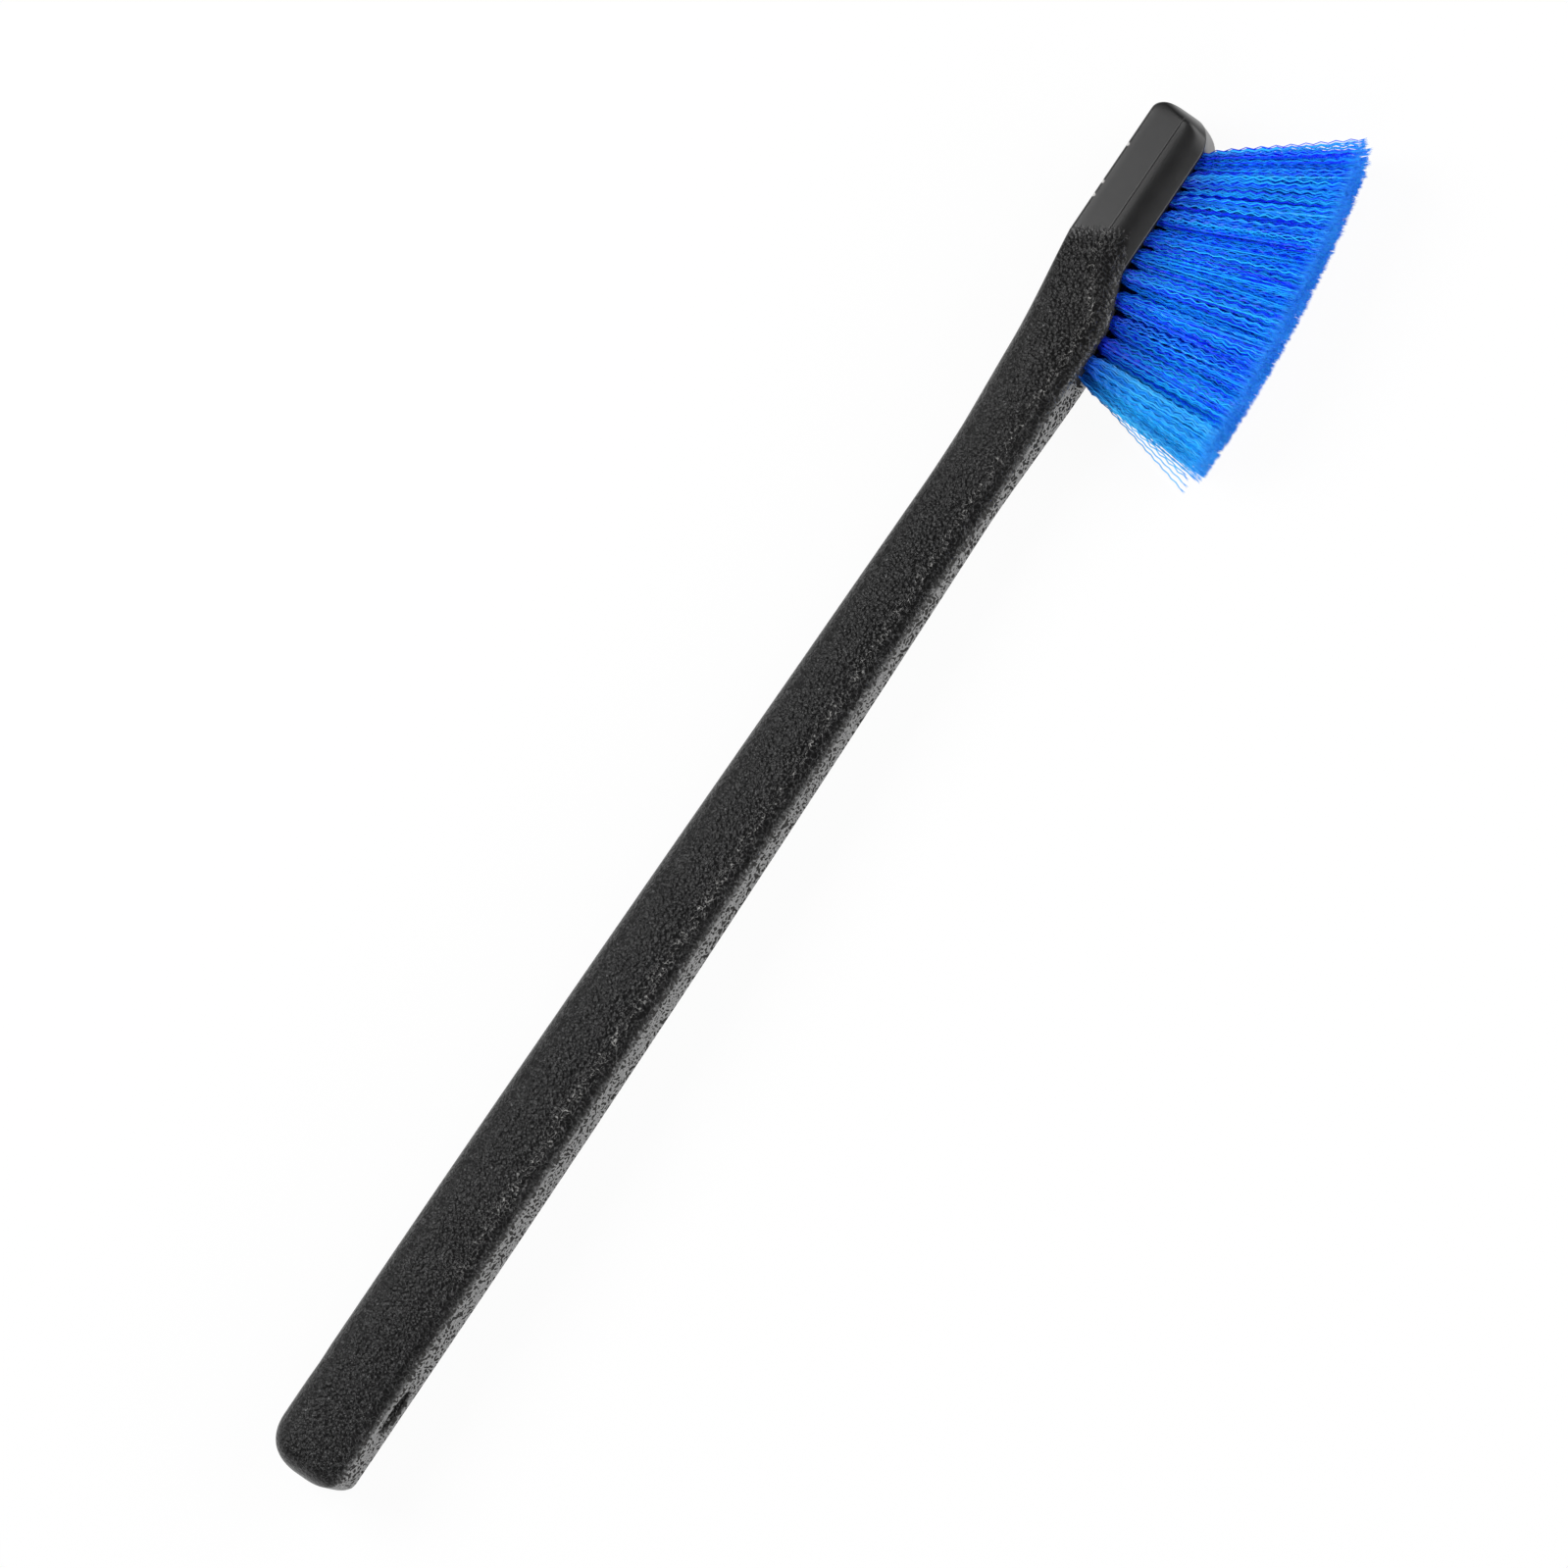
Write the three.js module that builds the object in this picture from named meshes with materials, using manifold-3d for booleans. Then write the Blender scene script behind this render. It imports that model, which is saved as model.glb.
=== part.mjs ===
// A long-handled scrubbing brush, lying on its side as it does when it is put down.
// One moulded handle ends in a drilled head. Tufts of filament stand in rows of holes in the face of
// the head, and a flat metal anchor, driven across each hole, holds the fold of its tuft.
// Sizes are in millimetres. The brush is drawn along its own axes and then laid down: +X runs from
// the butt to the end of the head, -Y is the way the bristles point, and Z runs across the handle.
import * as THREE from "three";
import { mergeVertices } from "three/addons/utils/BufferGeometryUtils.js";
import Module from "manifold-3d";

const wasm = await Module();
wasm.setup();

// Lengths of the handle, from the butt to the end of the head
const GRIP_LENGTH = 367; // to the narrowest place of the neck
const NECK_LENGTH = 90; // from there to the start of the head
const HEAD_LENGTH = 51;
const BUTT_LENGTH = 60; // of even section, at the start of the grip
const BUTT_ROUNDING = 14; // length over which the butt rounds off
const HEAD_ROUNDING = 5.5; // length over which the end of the head rounds off
const FACE_ROUNDING = 11; // the same, on the side of the face
const FACE_RAMP_LENGTH = 22; // where the front steps back from the neck to the face of the head

// Widths of the handle, and how far its back and its front lie from its axis
const GRIP_WIDTH = 32.5;
const GRIP_BACK = 14.2;
const GRIP_FRONT = 14;
const NECK_WIDTH = 19.5;
const NECK_BACK = 12;
const NECK_FRONT = 11;
const HEAD_WIDTH = 33;
const HEAD_BACK = 16.9;
const HEAD_FRONT = 4.7;
const TAPER_CURVE = 1.7; // 1 tapers the grip evenly, more keeps it full for longer

// Edges of the handle: corner radii, and how far its sides draw in from the parting line, which is
// low on the grip and halfway up the head
const GRIP_PARTING_HEIGHT = 6; // over the front
const GRIP_BACK_RADIUS = 10;
const GRIP_FRONT_RADIUS = 2.2;
const GRIP_BACK_DRAFT = 2.4;
const GRIP_FRONT_DRAFT = 0.8;
const HEAD_BACK_RADIUS = 2.6;
const HEAD_FRONT_RADIUS = 1.6;
const HEAD_BACK_DRAFT = 1.6;
const HEAD_FRONT_DRAFT = 2.6;
const END_ROUNDNESS = 2.3; // 2 rounds the ends off as ellipses, more makes them squarer
const END_FLAT = 0.3; // share of the section that is left flat at each end

// Hole to hang the brush by, through the butt from back to front
const HANG_HOLE_DIAMETER = 16;
const HANG_HOLE_FROM_BUTT = 33;
const HANG_HOLE_BEVEL = 0.9;

// Tufts and the holes that they are set in
const ROWS = 4;
const TUFTS_PER_ROW = 11;
const TUFTS_OVER_NECK = 34.7; // how far the tufts run back over the neck
const HOLE_DIAMETER = 4.8;
const HOLE_DEPTH = 9;
const WALL_BESIDE_HOLES = 1;
const WALL_BEYOND_HOLES = 3.5; // between the first hole and the rounded end of the head
const TRIM_LENGTH = 54; // of the filaments, out of the face of the head
const TRIM_DROP = 13.8; // how much lower the tips are cut at the front
const TRIM_OVERHANG = 25; // how far the front tips reach past the end of the head
const FRONT_LEAN = 34; // degrees, forwards
const REAR_LEAN = -1;
const SIDE_SPLAY = 2; // degrees, of the outer rows
const ROOT_COLLAR = 2.4; // length of tight bundle that stands out of each hole
const STRANDS_PER_TUFT = 8;
const STRAND_RADIUS = 0.36;
const STRAND_TIP_RADIUS = 0.28;
const SPREAD_ALONG = 0.045; // how far a strand leans out, per millimetre from its tuft's middle
const SPREAD_ACROSS = 0.02; // the same, across the handle
const RIB_WIDTH = 1.2; // slice of backing that joins the tufts of a row
const RIB_DEPTH = 1.5;

// Anchors, and the room that is left round a piece set into another
const ANCHOR_THICKNESS = 0.5;
const ANCHOR_HEIGHT = 1.8;
const ANCHOR_BITE = 0.5; // into the wall at each end
const FOLD_ROOM = 1.1; // under the anchor, for the fold of the tuft
const CLEARANCE = 0.3;
const OVERSHOOT = 4; // of a cutter, past the surface that it opens

// How finely curves are drawn
const BACK_ARC_STEPS = 5;
const FRONT_ARC_STEPS = 3;
const END_STEPS = 6;
const GRIP_STEPS = 6;
const FLARE_STEPS = 7;
const RAMP_STEPS = 6;
const HOLE_ARC_STEPS = 4;
const HANG_HOLE_STEPS = 24;
const SETTLING_TURNS = 12;

const NECK_X = GRIP_LENGTH;
const HEAD_X = NECK_X + NECK_LENGTH;
const END_X = HEAD_X + HEAD_LENGTH;
const FACE_HALF_WIDTH = HEAD_WIDTH / 2 - HEAD_FRONT_DRAFT;
const OUTER_ROW_Z = FACE_HALF_WIDTH - WALL_BESIDE_HOLES - HOLE_DIAMETER / 2;
const FRONT_TUFT_X = END_X - HEAD_ROUNDING - WALL_BEYOND_HOLES - HOLE_DIAMETER / 2;
const REAR_TUFT_X = HEAD_X - TUFTS_OVER_NECK;
const TUFT_PITCH = (FRONT_TUFT_X - REAR_TUFT_X) / (TUFTS_PER_ROW - 0.5);
const FLARE_END_X = REAR_TUFT_X - HOLE_DIAMETER;
const FACE_RAMP_X = HEAD_X - FACE_RAMP_LENGTH;
const HOLE_RADIUS = HOLE_DIAMETER / 2;
const GROOVE_HALF_WIDTH = ANCHOR_THICKNESS / 2 + CLEARANCE;
const GROOVE_ANGLE = Math.asin(GROOVE_HALF_WIDTH / HOLE_RADIUS);
const PLUG_RADIUS = HOLE_RADIUS * Math.cos((Math.PI - 2 * GROOVE_ANGLE) / HOLE_ARC_STEPS / 2) - CLEARANCE;
const ANCHOR_LENGTH = HOLE_DIAMETER + 2 * ANCHOR_BITE;
const ANCHOR_FOOT = FOLD_ROOM - HOLE_DEPTH;
const UP = new THREE.Vector3(0, 0, 1);

const { clamp, degToRad, lerp } = THREE.MathUtils;

const plastic = new THREE.MeshStandardMaterial({ name: "black_plastic", color: 0x222124, roughness: 0.5 });
const filament = new THREE.MeshStandardMaterial({ name: "blue_filament", color: 0x1f6ae6, roughness: 0.4 });
const wire = new THREE.MeshStandardMaterial({ name: "anchor_wire", color: 0xb9b4a6, metalness: 1 });

// Share of the way from one place to another, from 0 to 1.
function share(x, from, to) {
  return clamp((x - from) / (to - from), 0, 1);
}

// The same share, eased at both ends.
function eased(x, from, to) {
  const u = share(x, from, to);
  return u * u * (3 - 2 * u);
}

function solidOf(geometry) {
  const bare = geometry.clone();
  bare.deleteAttribute("normal");
  bare.deleteAttribute("uv");
  const welded = mergeVertices(bare, 1e-5);
  const vertProperties = new Float32Array(welded.attributes.position.array);
  const triVerts = new Uint32Array(welded.index.array);
  return new wasm.Manifold(new wasm.Mesh({ numProp: 3, vertProperties, triVerts }));
}

function geometryOf(solid) {
  const { numProp, vertProperties, triVerts } = solid.getMesh();
  const points = [];
  for (let at = 0; at < vertProperties.length; at += numProp) {
    points.push(vertProperties[at], vertProperties[at + 1], vertProperties[at + 2]);
  }
  return facesOf(points, Array.from(triVerts));
}

function facesOf(points, triangles) {
  const geometry = new THREE.BufferGeometry();
  geometry.setAttribute("position", new THREE.Float32BufferAttribute(points, 3));
  geometry.setIndex(triangles);
  geometry.computeVertexNormals();
  return geometry;
}

function meshOf(name, geometry, material) {
  const mesh = new THREE.Mesh(geometry, material);
  mesh.name = name;
  return mesh;
}

// How far the grip has tapered towards the neck, from 0 to 1.
function taperAt(x) {
  return share(x, BUTT_LENGTH, NECK_X) ** TAPER_CURVE;
}

// How far the front lies from the axis. In the tufted part this is the face that is drilled.
function frontAt(x) {
  const handle = lerp(GRIP_FRONT, NECK_FRONT, taperAt(x));
  return lerp(handle, HEAD_FRONT, eased(x, FACE_RAMP_X, HEAD_X));
}

function backAt(x) {
  const handle = lerp(GRIP_BACK, NECK_BACK, taperAt(x));
  return lerp(handle, HEAD_BACK, share(x, NECK_X, HEAD_X) ** 2);
}

function halfWidthAt(x) {
  const handle = lerp(GRIP_WIDTH, NECK_WIDTH, taperAt(x));
  return lerp(handle, HEAD_WIDTH, eased(x, NECK_X, FLARE_END_X)) / 2;
}

// How much of the section is left as the butt and the end of the head round off.
function endScaleAt(x, headRounding) {
  const gone = Math.max(share(x, BUTT_ROUNDING, 0), share(x, END_X - headRounding, END_X));
  return Math.max(END_FLAT, (1 - gone ** END_ROUNDNESS) ** (1 / END_ROUNDNESS));
}

// A quarter of a section, from the middle of its flat, round the corner, to the parting line.
function quarterSection(halfWidth, height, draft, radius, steps) {
  const turn = Math.PI / 2 - Math.atan(draft / height);
  const room = Math.min(halfWidth - draft, height) * 0.9;
  const arc = Math.min(radius, room / Math.tan(turn / 2));
  const arcStart = halfWidth - draft - arc * Math.tan(turn / 2);
  const points = [[height, 0]];
  for (let step = 0; step <= steps; step++) {
    const angle = (turn * step) / steps;
    points.push([height - arc + arc * Math.cos(angle), arcStart + arc * Math.sin(angle)]);
  }
  points.push([0, halfWidth]);
  return points;
}

// The points of one section, once round.
function sectionAt(x) {
  const head = eased(x, FLARE_END_X, HEAD_X);
  const halfWidth = halfWidthAt(x);
  const middle = (backAt(x) - frontAt(x)) / 2;
  const depth = backAt(x) + frontAt(x);
  const partingHeight = lerp(GRIP_PARTING_HEIGHT, depth / 2, eased(x, FACE_RAMP_X, HEAD_X));
  const parting = partingHeight - frontAt(x);
  const back = quarterSection(
    halfWidth,
    depth - partingHeight,
    lerp(GRIP_BACK_DRAFT, HEAD_BACK_DRAFT, head),
    lerp(GRIP_BACK_RADIUS, HEAD_BACK_RADIUS, head),
    BACK_ARC_STEPS,
  ).map(([up, across]) => [parting + up, across]);
  const front = quarterSection(
    halfWidth,
    partingHeight,
    lerp(GRIP_FRONT_DRAFT, HEAD_FRONT_DRAFT, head),
    lerp(GRIP_FRONT_RADIUS, HEAD_FRONT_RADIUS, head),
    FRONT_ARC_STEPS,
  ).map(([down, across]) => [parting - down, across]);
  const half = [...back, ...front.slice(0, -1).reverse()];
  const otherHalf = half.slice(1, -1).reverse().map(([y, z]) => [y, -z]);
  const scale = endScaleAt(x, HEAD_ROUNDING);
  const faceScale = endScaleAt(x, FACE_ROUNDING);
  return [...half, ...otherHalf].map(([y, z]) => {
    const up = y - middle;
    return [x, middle + up * (up < 0 ? faceScale : scale), z * scale];
  });
}

// Evenly spaced places after one place, up to another.
function between(from, to, steps) {
  const places = [];
  for (let step = 1; step <= steps; step++) {
    places.push(lerp(from, to, step / steps));
  }
  return places;
}

// Places along the handle that get a section, closer together where it curves.
function sectionPlaces() {
  const quarterTurn = between(0, Math.PI / 2, END_STEPS);
  const butt = quarterTurn.map((angle) => BUTT_ROUNDING * (1 - Math.cos(angle)));
  const end = quarterTurn.map((angle) => END_X - FACE_ROUNDING * (1 - Math.cos(angle))).reverse();
  const places = [
    0,
    ...butt,
    BUTT_LENGTH,
    ...between(BUTT_LENGTH, NECK_X, GRIP_STEPS),
    ...between(NECK_X, FLARE_END_X, FLARE_STEPS),
    FACE_RAMP_X,
    ...between(FACE_RAMP_X, HEAD_X, RAMP_STEPS),
    ...end,
    END_X,
  ];
  const rising = places.sort((a, b) => a - b);
  return rising.filter((place, at) => at === 0 || place - rising[at - 1] > 0.05);
}

// The outside of the handle, as a skin over its sections with a flat at each end.
function handleSkin() {
  const sections = sectionPlaces().map(sectionAt);
  const count = sections[0].length;
  const points = sections.flat(2);
  const triangles = [];
  for (let ring = 0; ring + 1 < sections.length; ring++) {
    for (let at = 0; at < count; at++) {
      const here = ring * count + at;
      const next = ring * count + ((at + 1) % count);
      triangles.push(here, next, here + count, next, next + count, here + count);
    }
  }
  const last = (sections.length - 1) * count;
  for (let at = 1; at + 1 < count; at++) {
    triangles.push(0, at + 1, at);
    triangles.push(last, last + at, last + at + 1);
  }
  return facesOf(points, triangles);
}

// The cutter of the hang hole, with a bevel at each mouth.
function hangHoleCutter() {
  const radius = HANG_HOLE_DIAMETER / 2;
  const flare = HANG_HOLE_BEVEL + OVERSHOOT;
  const profile = [
    [0, -GRIP_FRONT - OVERSHOOT],
    [radius + flare, -GRIP_FRONT - OVERSHOOT],
    [radius, -GRIP_FRONT + HANG_HOLE_BEVEL],
    [radius, GRIP_BACK - HANG_HOLE_BEVEL],
    [radius + flare, GRIP_BACK + OVERSHOOT],
    [0, GRIP_BACK + OVERSHOOT],
  ].map(([across, along]) => new THREE.Vector2(across, along));
  return new THREE.LatheGeometry(profile, HANG_HOLE_STEPS).translate(HANG_HOLE_FROM_BUTT, 0, 0);
}

// Where the tufts of a row stand. Every other row is set back by half a pitch.
function tuftPlaces(row) {
  const z = lerp(-OUTER_ROW_Z, OUTER_ROW_Z, row / (ROWS - 1));
  const setBack = row % 2 === 0 ? 0.5 : 0;
  const places = [];
  for (let tuft = 0; tuft < TUFTS_PER_ROW; tuft++) {
    places.push(tuftFrame(FRONT_TUFT_X - (tuft + setBack) * TUFT_PITCH, z));
  }
  return places;
}

// The place of a tuft: its own X runs across the handle, its own Z runs out of the hole.
function tuftFrame(x, z) {
  const lean = degToRad(lerp(REAR_LEAN, FRONT_LEAN, share(x, REAR_TUFT_X, FRONT_TUFT_X)));
  const splay = degToRad((SIDE_SPLAY * z) / OUTER_ROW_Z);
  const outward = new THREE.Vector3(Math.tan(lean), -1, Math.tan(splay)).normalize();
  const along = new THREE.Vector3().crossVectors(outward, UP).normalize();
  const across = new THREE.Vector3().crossVectors(along, outward);
  const frame = new THREE.Matrix4().makeBasis(across, along, outward);
  return frame.setPosition(x, -frontAt(x), z);
}

// The cutter of a tuft's hole: round, with a groove on each side for the ends of the anchor.
function holeCutter() {
  const grooveEnd = ANCHOR_LENGTH / 2 + CLEARANCE;
  const outline = [];
  for (const turn of [0, Math.PI]) {
    for (let step = 0; step <= HOLE_ARC_STEPS; step++) {
      const angle = turn + lerp(GROOVE_ANGLE, Math.PI - GROOVE_ANGLE, step / HOLE_ARC_STEPS);
      outline.push(new THREE.Vector2(Math.cos(angle), Math.sin(angle)).multiplyScalar(HOLE_RADIUS));
    }
    const side = turn === 0 ? -1 : 1;
    outline.push(new THREE.Vector2(side * grooveEnd, -side * GROOVE_HALF_WIDTH));
    outline.push(new THREE.Vector2(side * grooveEnd, side * GROOVE_HALF_WIDTH));
  }
  const depth = HOLE_DEPTH + OVERSHOOT;
  const cutter = new THREE.ExtrudeGeometry(new THREE.Shape(outline), { depth, bevelEnabled: false });
  return cutter.translate(0, 0, -HOLE_DEPTH);
}

// A strip along a row that follows the face of the head, from over the face to under it.
function rowStrip(row, width, over, under, extra) {
  const places = tuftPlaces(row).map((frame) => new THREE.Vector3().setFromMatrixPosition(frame));
  const first = places.at(-1).x - extra;
  const last = places[0].x + extra;
  const stops = [first, ...sectionPlaces().filter((x) => x > first && x < last), last];
  const top = stops.map((x) => new THREE.Vector2(x, -frontAt(x) - over));
  const bottom = stops.map((x) => new THREE.Vector2(x, -frontAt(x) + under)).reverse();
  const strip = new THREE.ExtrudeGeometry(new THREE.Shape([...top, ...bottom]), {
    depth: width,
    bevelEnabled: false,
  });
  return strip.translate(0, 0, places[0].z - width / 2);
}

// Points evenly spaced round a circle, as an outline.
function roundOutline(middle, radius, sides, firstAngle) {
  const outline = [];
  for (let side = 0; side < sides; side++) {
    const angle = firstAngle + (2 * Math.PI * side) / sides;
    const spoke = new THREE.Vector2(Math.cos(angle), Math.sin(angle)).multiplyScalar(radius);
    outline.push(spoke.add(middle));
  }
  return outline;
}

// Where the strands of a tuft stand on the end of its root, spread evenly over it.
function strandFeet() {
  const reach = PLUG_RADIUS - 1.2 * STRAND_RADIUS;
  const goldenAngle = Math.PI * (3 - Math.sqrt(5));
  const feet = [];
  for (let at = 0; at < STRANDS_PER_TUFT; at++) {
    const out = reach * Math.sqrt((at + 0.5) / STRANDS_PER_TUFT);
    feet.push(new THREE.Vector2(Math.cos(at * goldenAngle), Math.sin(at * goldenAngle)).multiplyScalar(out));
  }
  return feet;
}

// How far from the axis the tips are cut, at a place along the brush.
function trimAt(x) {
  return HEAD_FRONT + TRIM_LENGTH - TRIM_DROP * share(x, REAR_TUFT_X, END_X + TRIM_OVERHANG) ** 2;
}

// The step from the foot of a strand to its tip, which is where it meets the trim.
function strandRun(foot, frame) {
  const direction = new THREE.Vector3(foot.x * SPREAD_ACROSS, foot.y * SPREAD_ALONG, 1).normalize();
  const start = new THREE.Vector3(foot.x, foot.y, ROOT_COLLAR).applyMatrix4(frame);
  const outward = direction.clone().transformDirection(frame);
  let length = 0;
  for (let turn = 0; turn < SETTLING_TURNS; turn++) {
    length = (trimAt(start.x + outward.x * length) + start.y) / -outward.y;
  }
  return direction.multiplyScalar(length);
}

// A tuft: its tight root, in the hole and a little out of it, and three-sided strands on its end.
function tuft(frame) {
  const sides = 2 * HOLE_ARC_STEPS;
  const end = roundOutline(new THREE.Vector2(), PLUG_RADIUS, sides, Math.PI / sides);
  const feet = strandFeet();
  const footOutlines = feet.map((foot) => roundOutline(foot, STRAND_RADIUS, 3, foot.angle()).reverse());
  const points = [...end, ...footOutlines.flat()].map(({ x, y }) => new THREE.Vector3(x, y, ROOT_COLLAR));
  const triangles = THREE.ShapeUtils.triangulateShape(end, footOutlines).flat();
  const wall = (from, to, fromTop, toTop) => triangles.push(from, to, toTop, from, toTop, fromTop);

  const bottom = points.length;
  points.push(...end.map(({ x, y }) => new THREE.Vector3(x, y, CLEARANCE - HOLE_DEPTH)));
  for (let side = 0; side < sides; side++) {
    const next = (side + 1) % sides;
    wall(bottom + side, bottom + next, side, next);
  }
  for (let side = 1; side + 1 < sides; side++) {
    triangles.push(bottom, bottom + side + 1, bottom + side);
  }

  feet.forEach((foot, at) => {
    const first = sides + 3 * at;
    const tip = points.length;
    const middle = new THREE.Vector3(foot.x, foot.y, ROOT_COLLAR);
    const run = strandRun(foot, frame);
    for (const corner of points.slice(first, first + 3)) {
      const spoke = corner.clone().sub(middle).multiplyScalar(STRAND_TIP_RADIUS / STRAND_RADIUS);
      points.push(spoke.add(middle).add(run));
    }
    for (const [side, next] of [[1, 0], [2, 1], [0, 2]]) {
      wall(first + side, first + next, tip + side, tip + next);
    }
    triangles.push(tip + 2, tip + 1, tip);
  });
  return facesOf(points.flatMap((point) => point.toArray()), triangles).applyMatrix4(frame);
}

// The room that an anchor takes through the root of a tuft.
function anchorWay() {
  const way = new THREE.BoxGeometry(HOLE_DIAMETER, 2 * GROOVE_HALF_WIDTH, ANCHOR_HEIGHT + 2 * CLEARANCE);
  return way.translate(0, 0, ANCHOR_FOOT + ANCHOR_HEIGHT / 2);
}

// A row of tufts: their roots and strands, joined by a slice of backing let into the face.
function bristleRow(row) {
  let solid = solidOf(rowStrip(row, RIB_WIDTH, 0, RIB_DEPTH, 0));
  const way = anchorWay();
  for (const frame of tuftPlaces(row)) {
    solid = solid.add(solidOf(tuft(frame))).subtract(solidOf(way.clone().applyMatrix4(frame)));
  }
  return meshOf(`bristle_row_${row + 1}`, geometryOf(solid), filament);
}

// The handle with its hang hole, its tuft holes and the channels for the backing of the rows.
function handle() {
  let solid = solidOf(handleSkin()).subtract(solidOf(hangHoleCutter()));
  const hole = holeCutter();
  for (let row = 0; row < ROWS; row++) {
    const width = RIB_WIDTH + 2 * CLEARANCE;
    const channel = rowStrip(row, width, OVERSHOOT, RIB_DEPTH + CLEARANCE, CLEARANCE);
    solid = solid.subtract(solidOf(channel));
    for (const frame of tuftPlaces(row)) {
      solid = solid.subtract(solidOf(hole.clone().applyMatrix4(frame)));
    }
  }
  return meshOf("handle", geometryOf(solid), plastic);
}

// The anchors of a row, each across its hole and over the fold of its tuft.
function rowAnchors(row) {
  return tuftPlaces(row).map((frame, tuft) => {
    const bar = new THREE.BoxGeometry(ANCHOR_LENGTH, ANCHOR_THICKNESS, ANCHOR_HEIGHT);
    bar.translate(0, 0, ANCHOR_FOOT + ANCHOR_HEIGHT / 2);
    const anchor = meshOf(`anchor_row_${row + 1}_${tuft + 1}`, bar, wire);
    anchor.applyMatrix4(frame);
    return anchor;
  });
}

// The lowest point of some of the meshes, of the points that a test on their own places lets in.
function lowestPoint(meshes, isIn) {
  const lowest = new THREE.Vector3(0, 0, Infinity);
  const point = new THREE.Vector3();
  for (const mesh of meshes) {
    const places = mesh.geometry.attributes.position;
    for (let at = 0; at < places.count; at++) {
      point.fromBufferAttribute(places, at);
      if (isIn(point) && point.applyMatrix4(mesh.matrixWorld).z < lowest.z) {
        lowest.copy(point);
      }
    }
  }
  return lowest;
}

// Turns the brush until its butt, its head and its bristle tips all touch one level surface.
function layOnSide(brush, body, rows) {
  for (let turn = 0; turn < SETTLING_TURNS; turn++) {
    brush.updateMatrixWorld(true);
    const butt = lowestPoint([body], (point) => point.x < BUTT_LENGTH);
    const head = lowestPoint([body], (point) => point.x > NECK_X);
    const tips = lowestPoint(rows, () => true);
    const level = tips.sub(butt).cross(head.sub(butt)).normalize();
    level.multiplyScalar(Math.sign(level.z));
    brush.quaternion.premultiply(new THREE.Quaternion().setFromUnitVectors(level, UP));
  }
}

// Puts the origin under the middle of the brush, on the surface that it lies on.
function standOnOrigin(brush) {
  brush.updateMatrixWorld(true);
  const box = new THREE.Box3().setFromObject(brush, true);
  const middle = box.getCenter(new THREE.Vector3());
  brush.position.set(-middle.x, -middle.y, -box.min.z);
}

const brush = new THREE.Group();
const body = handle();
const rows = [];
for (let row = 0; row < ROWS; row++) {
  rows.push(bristleRow(row));
  brush.add(...rowAnchors(row));
}
brush.add(body, ...rows);
layOnSide(brush, body, rows);
standOnOrigin(brush);

const part = new THREE.Group();
part.add(brush);

export default part;
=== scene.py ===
"""A long-handled scrubbing brush, dressed over its CAD frame: the moulded handle, the crimped
bristles row by row, a few stray filaments, the finishes and a plain white studio."""

import math

import bmesh
import bpy
import numpy as np
from mathutils import Matrix, Vector


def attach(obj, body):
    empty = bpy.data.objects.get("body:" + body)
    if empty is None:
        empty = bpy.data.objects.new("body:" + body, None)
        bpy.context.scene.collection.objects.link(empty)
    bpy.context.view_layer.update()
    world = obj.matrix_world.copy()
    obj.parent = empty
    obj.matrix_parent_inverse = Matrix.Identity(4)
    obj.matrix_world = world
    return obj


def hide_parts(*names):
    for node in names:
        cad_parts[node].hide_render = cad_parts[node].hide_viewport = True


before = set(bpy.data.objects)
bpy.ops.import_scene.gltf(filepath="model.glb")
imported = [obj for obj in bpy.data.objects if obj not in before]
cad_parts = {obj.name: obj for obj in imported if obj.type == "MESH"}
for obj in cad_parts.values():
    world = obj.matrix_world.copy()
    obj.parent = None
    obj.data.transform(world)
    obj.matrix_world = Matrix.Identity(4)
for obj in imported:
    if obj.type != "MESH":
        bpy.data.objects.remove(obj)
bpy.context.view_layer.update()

bl_info = {
    "name": "Bird bath brush",
    "version": (1, 0, 0),
    "blender": (4, 5, 0),
    "location": "View3D > Sidebar > Brush",
    "description": "Models the handle, bristles and studio of a long-handled brush over its CAD frame",
    "category": "Object",
}

MM = 0.001

# How the brush lies: its own axes run +X from the butt to the head's end, +Y to its back and
# -Y the way the bristles point, and it rests on the butt, one side of the head and the tips.
LIE_ROLL = math.radians(1.868)
LIE_PITCH = math.radians(-0.022)
BUTT_PLACE = Vector((-264.839, 20.902, 16.497)) * MM

# Shape of the handle along its length
BUTT_LENGTH = 60 * MM
BUTT_ROUNDING = 14 * MM
BUTT_FACE_ROUNDING = 7 * MM
BUTT_SIDE_ROUNDING = 7 * MM
HEAD_ROUNDING = 5.5 * MM
HEAD_FACE_ROUNDING = 11 * MM
HEAD_BACK_SIDE_ROUNDING = 1.5 * MM
HEAD_FACE_SIDE_ROUNDING = 5 * MM
FACE_RAMP_LENGTH = 22 * MM
TAPER_CURVE = 1.7
END_ROUNDNESS = 2.3
END_TIP = 0.06

# Shape of the handle across
GRIP_PARTING_HEIGHT = 6 * MM
GRIP_BACK_RADIUS = 10 * MM
GRIP_FRONT_RADIUS = 2.2 * MM
GRIP_BACK_DRAFT = 2.4 * MM
GRIP_FRONT_DRAFT = 0.8 * MM
GRIP_SHOULDER_START = 0.4 * MM
GRIP_SHOULDER = 2.5 * MM
GRIP_BULGE = 0.3 * MM
HEAD_BACK_RADIUS = 1.4 * MM
HEAD_FRONT_RADIUS = 0.7 * MM
HEAD_BACK_DRAFT = 1.6 * MM
HEAD_FRONT_DRAFT = 1.9 * MM
HEAD_SHOULDER_START = 1.5 * MM
HEAD_SHOULDER = 6.5 * MM
FLASH_HEIGHT = 0.07 * MM
FLASH_WIDTH = 0.16 * MM
FLASH_REST = 0.35 * MM
ARC_ROOM = 0.9

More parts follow.
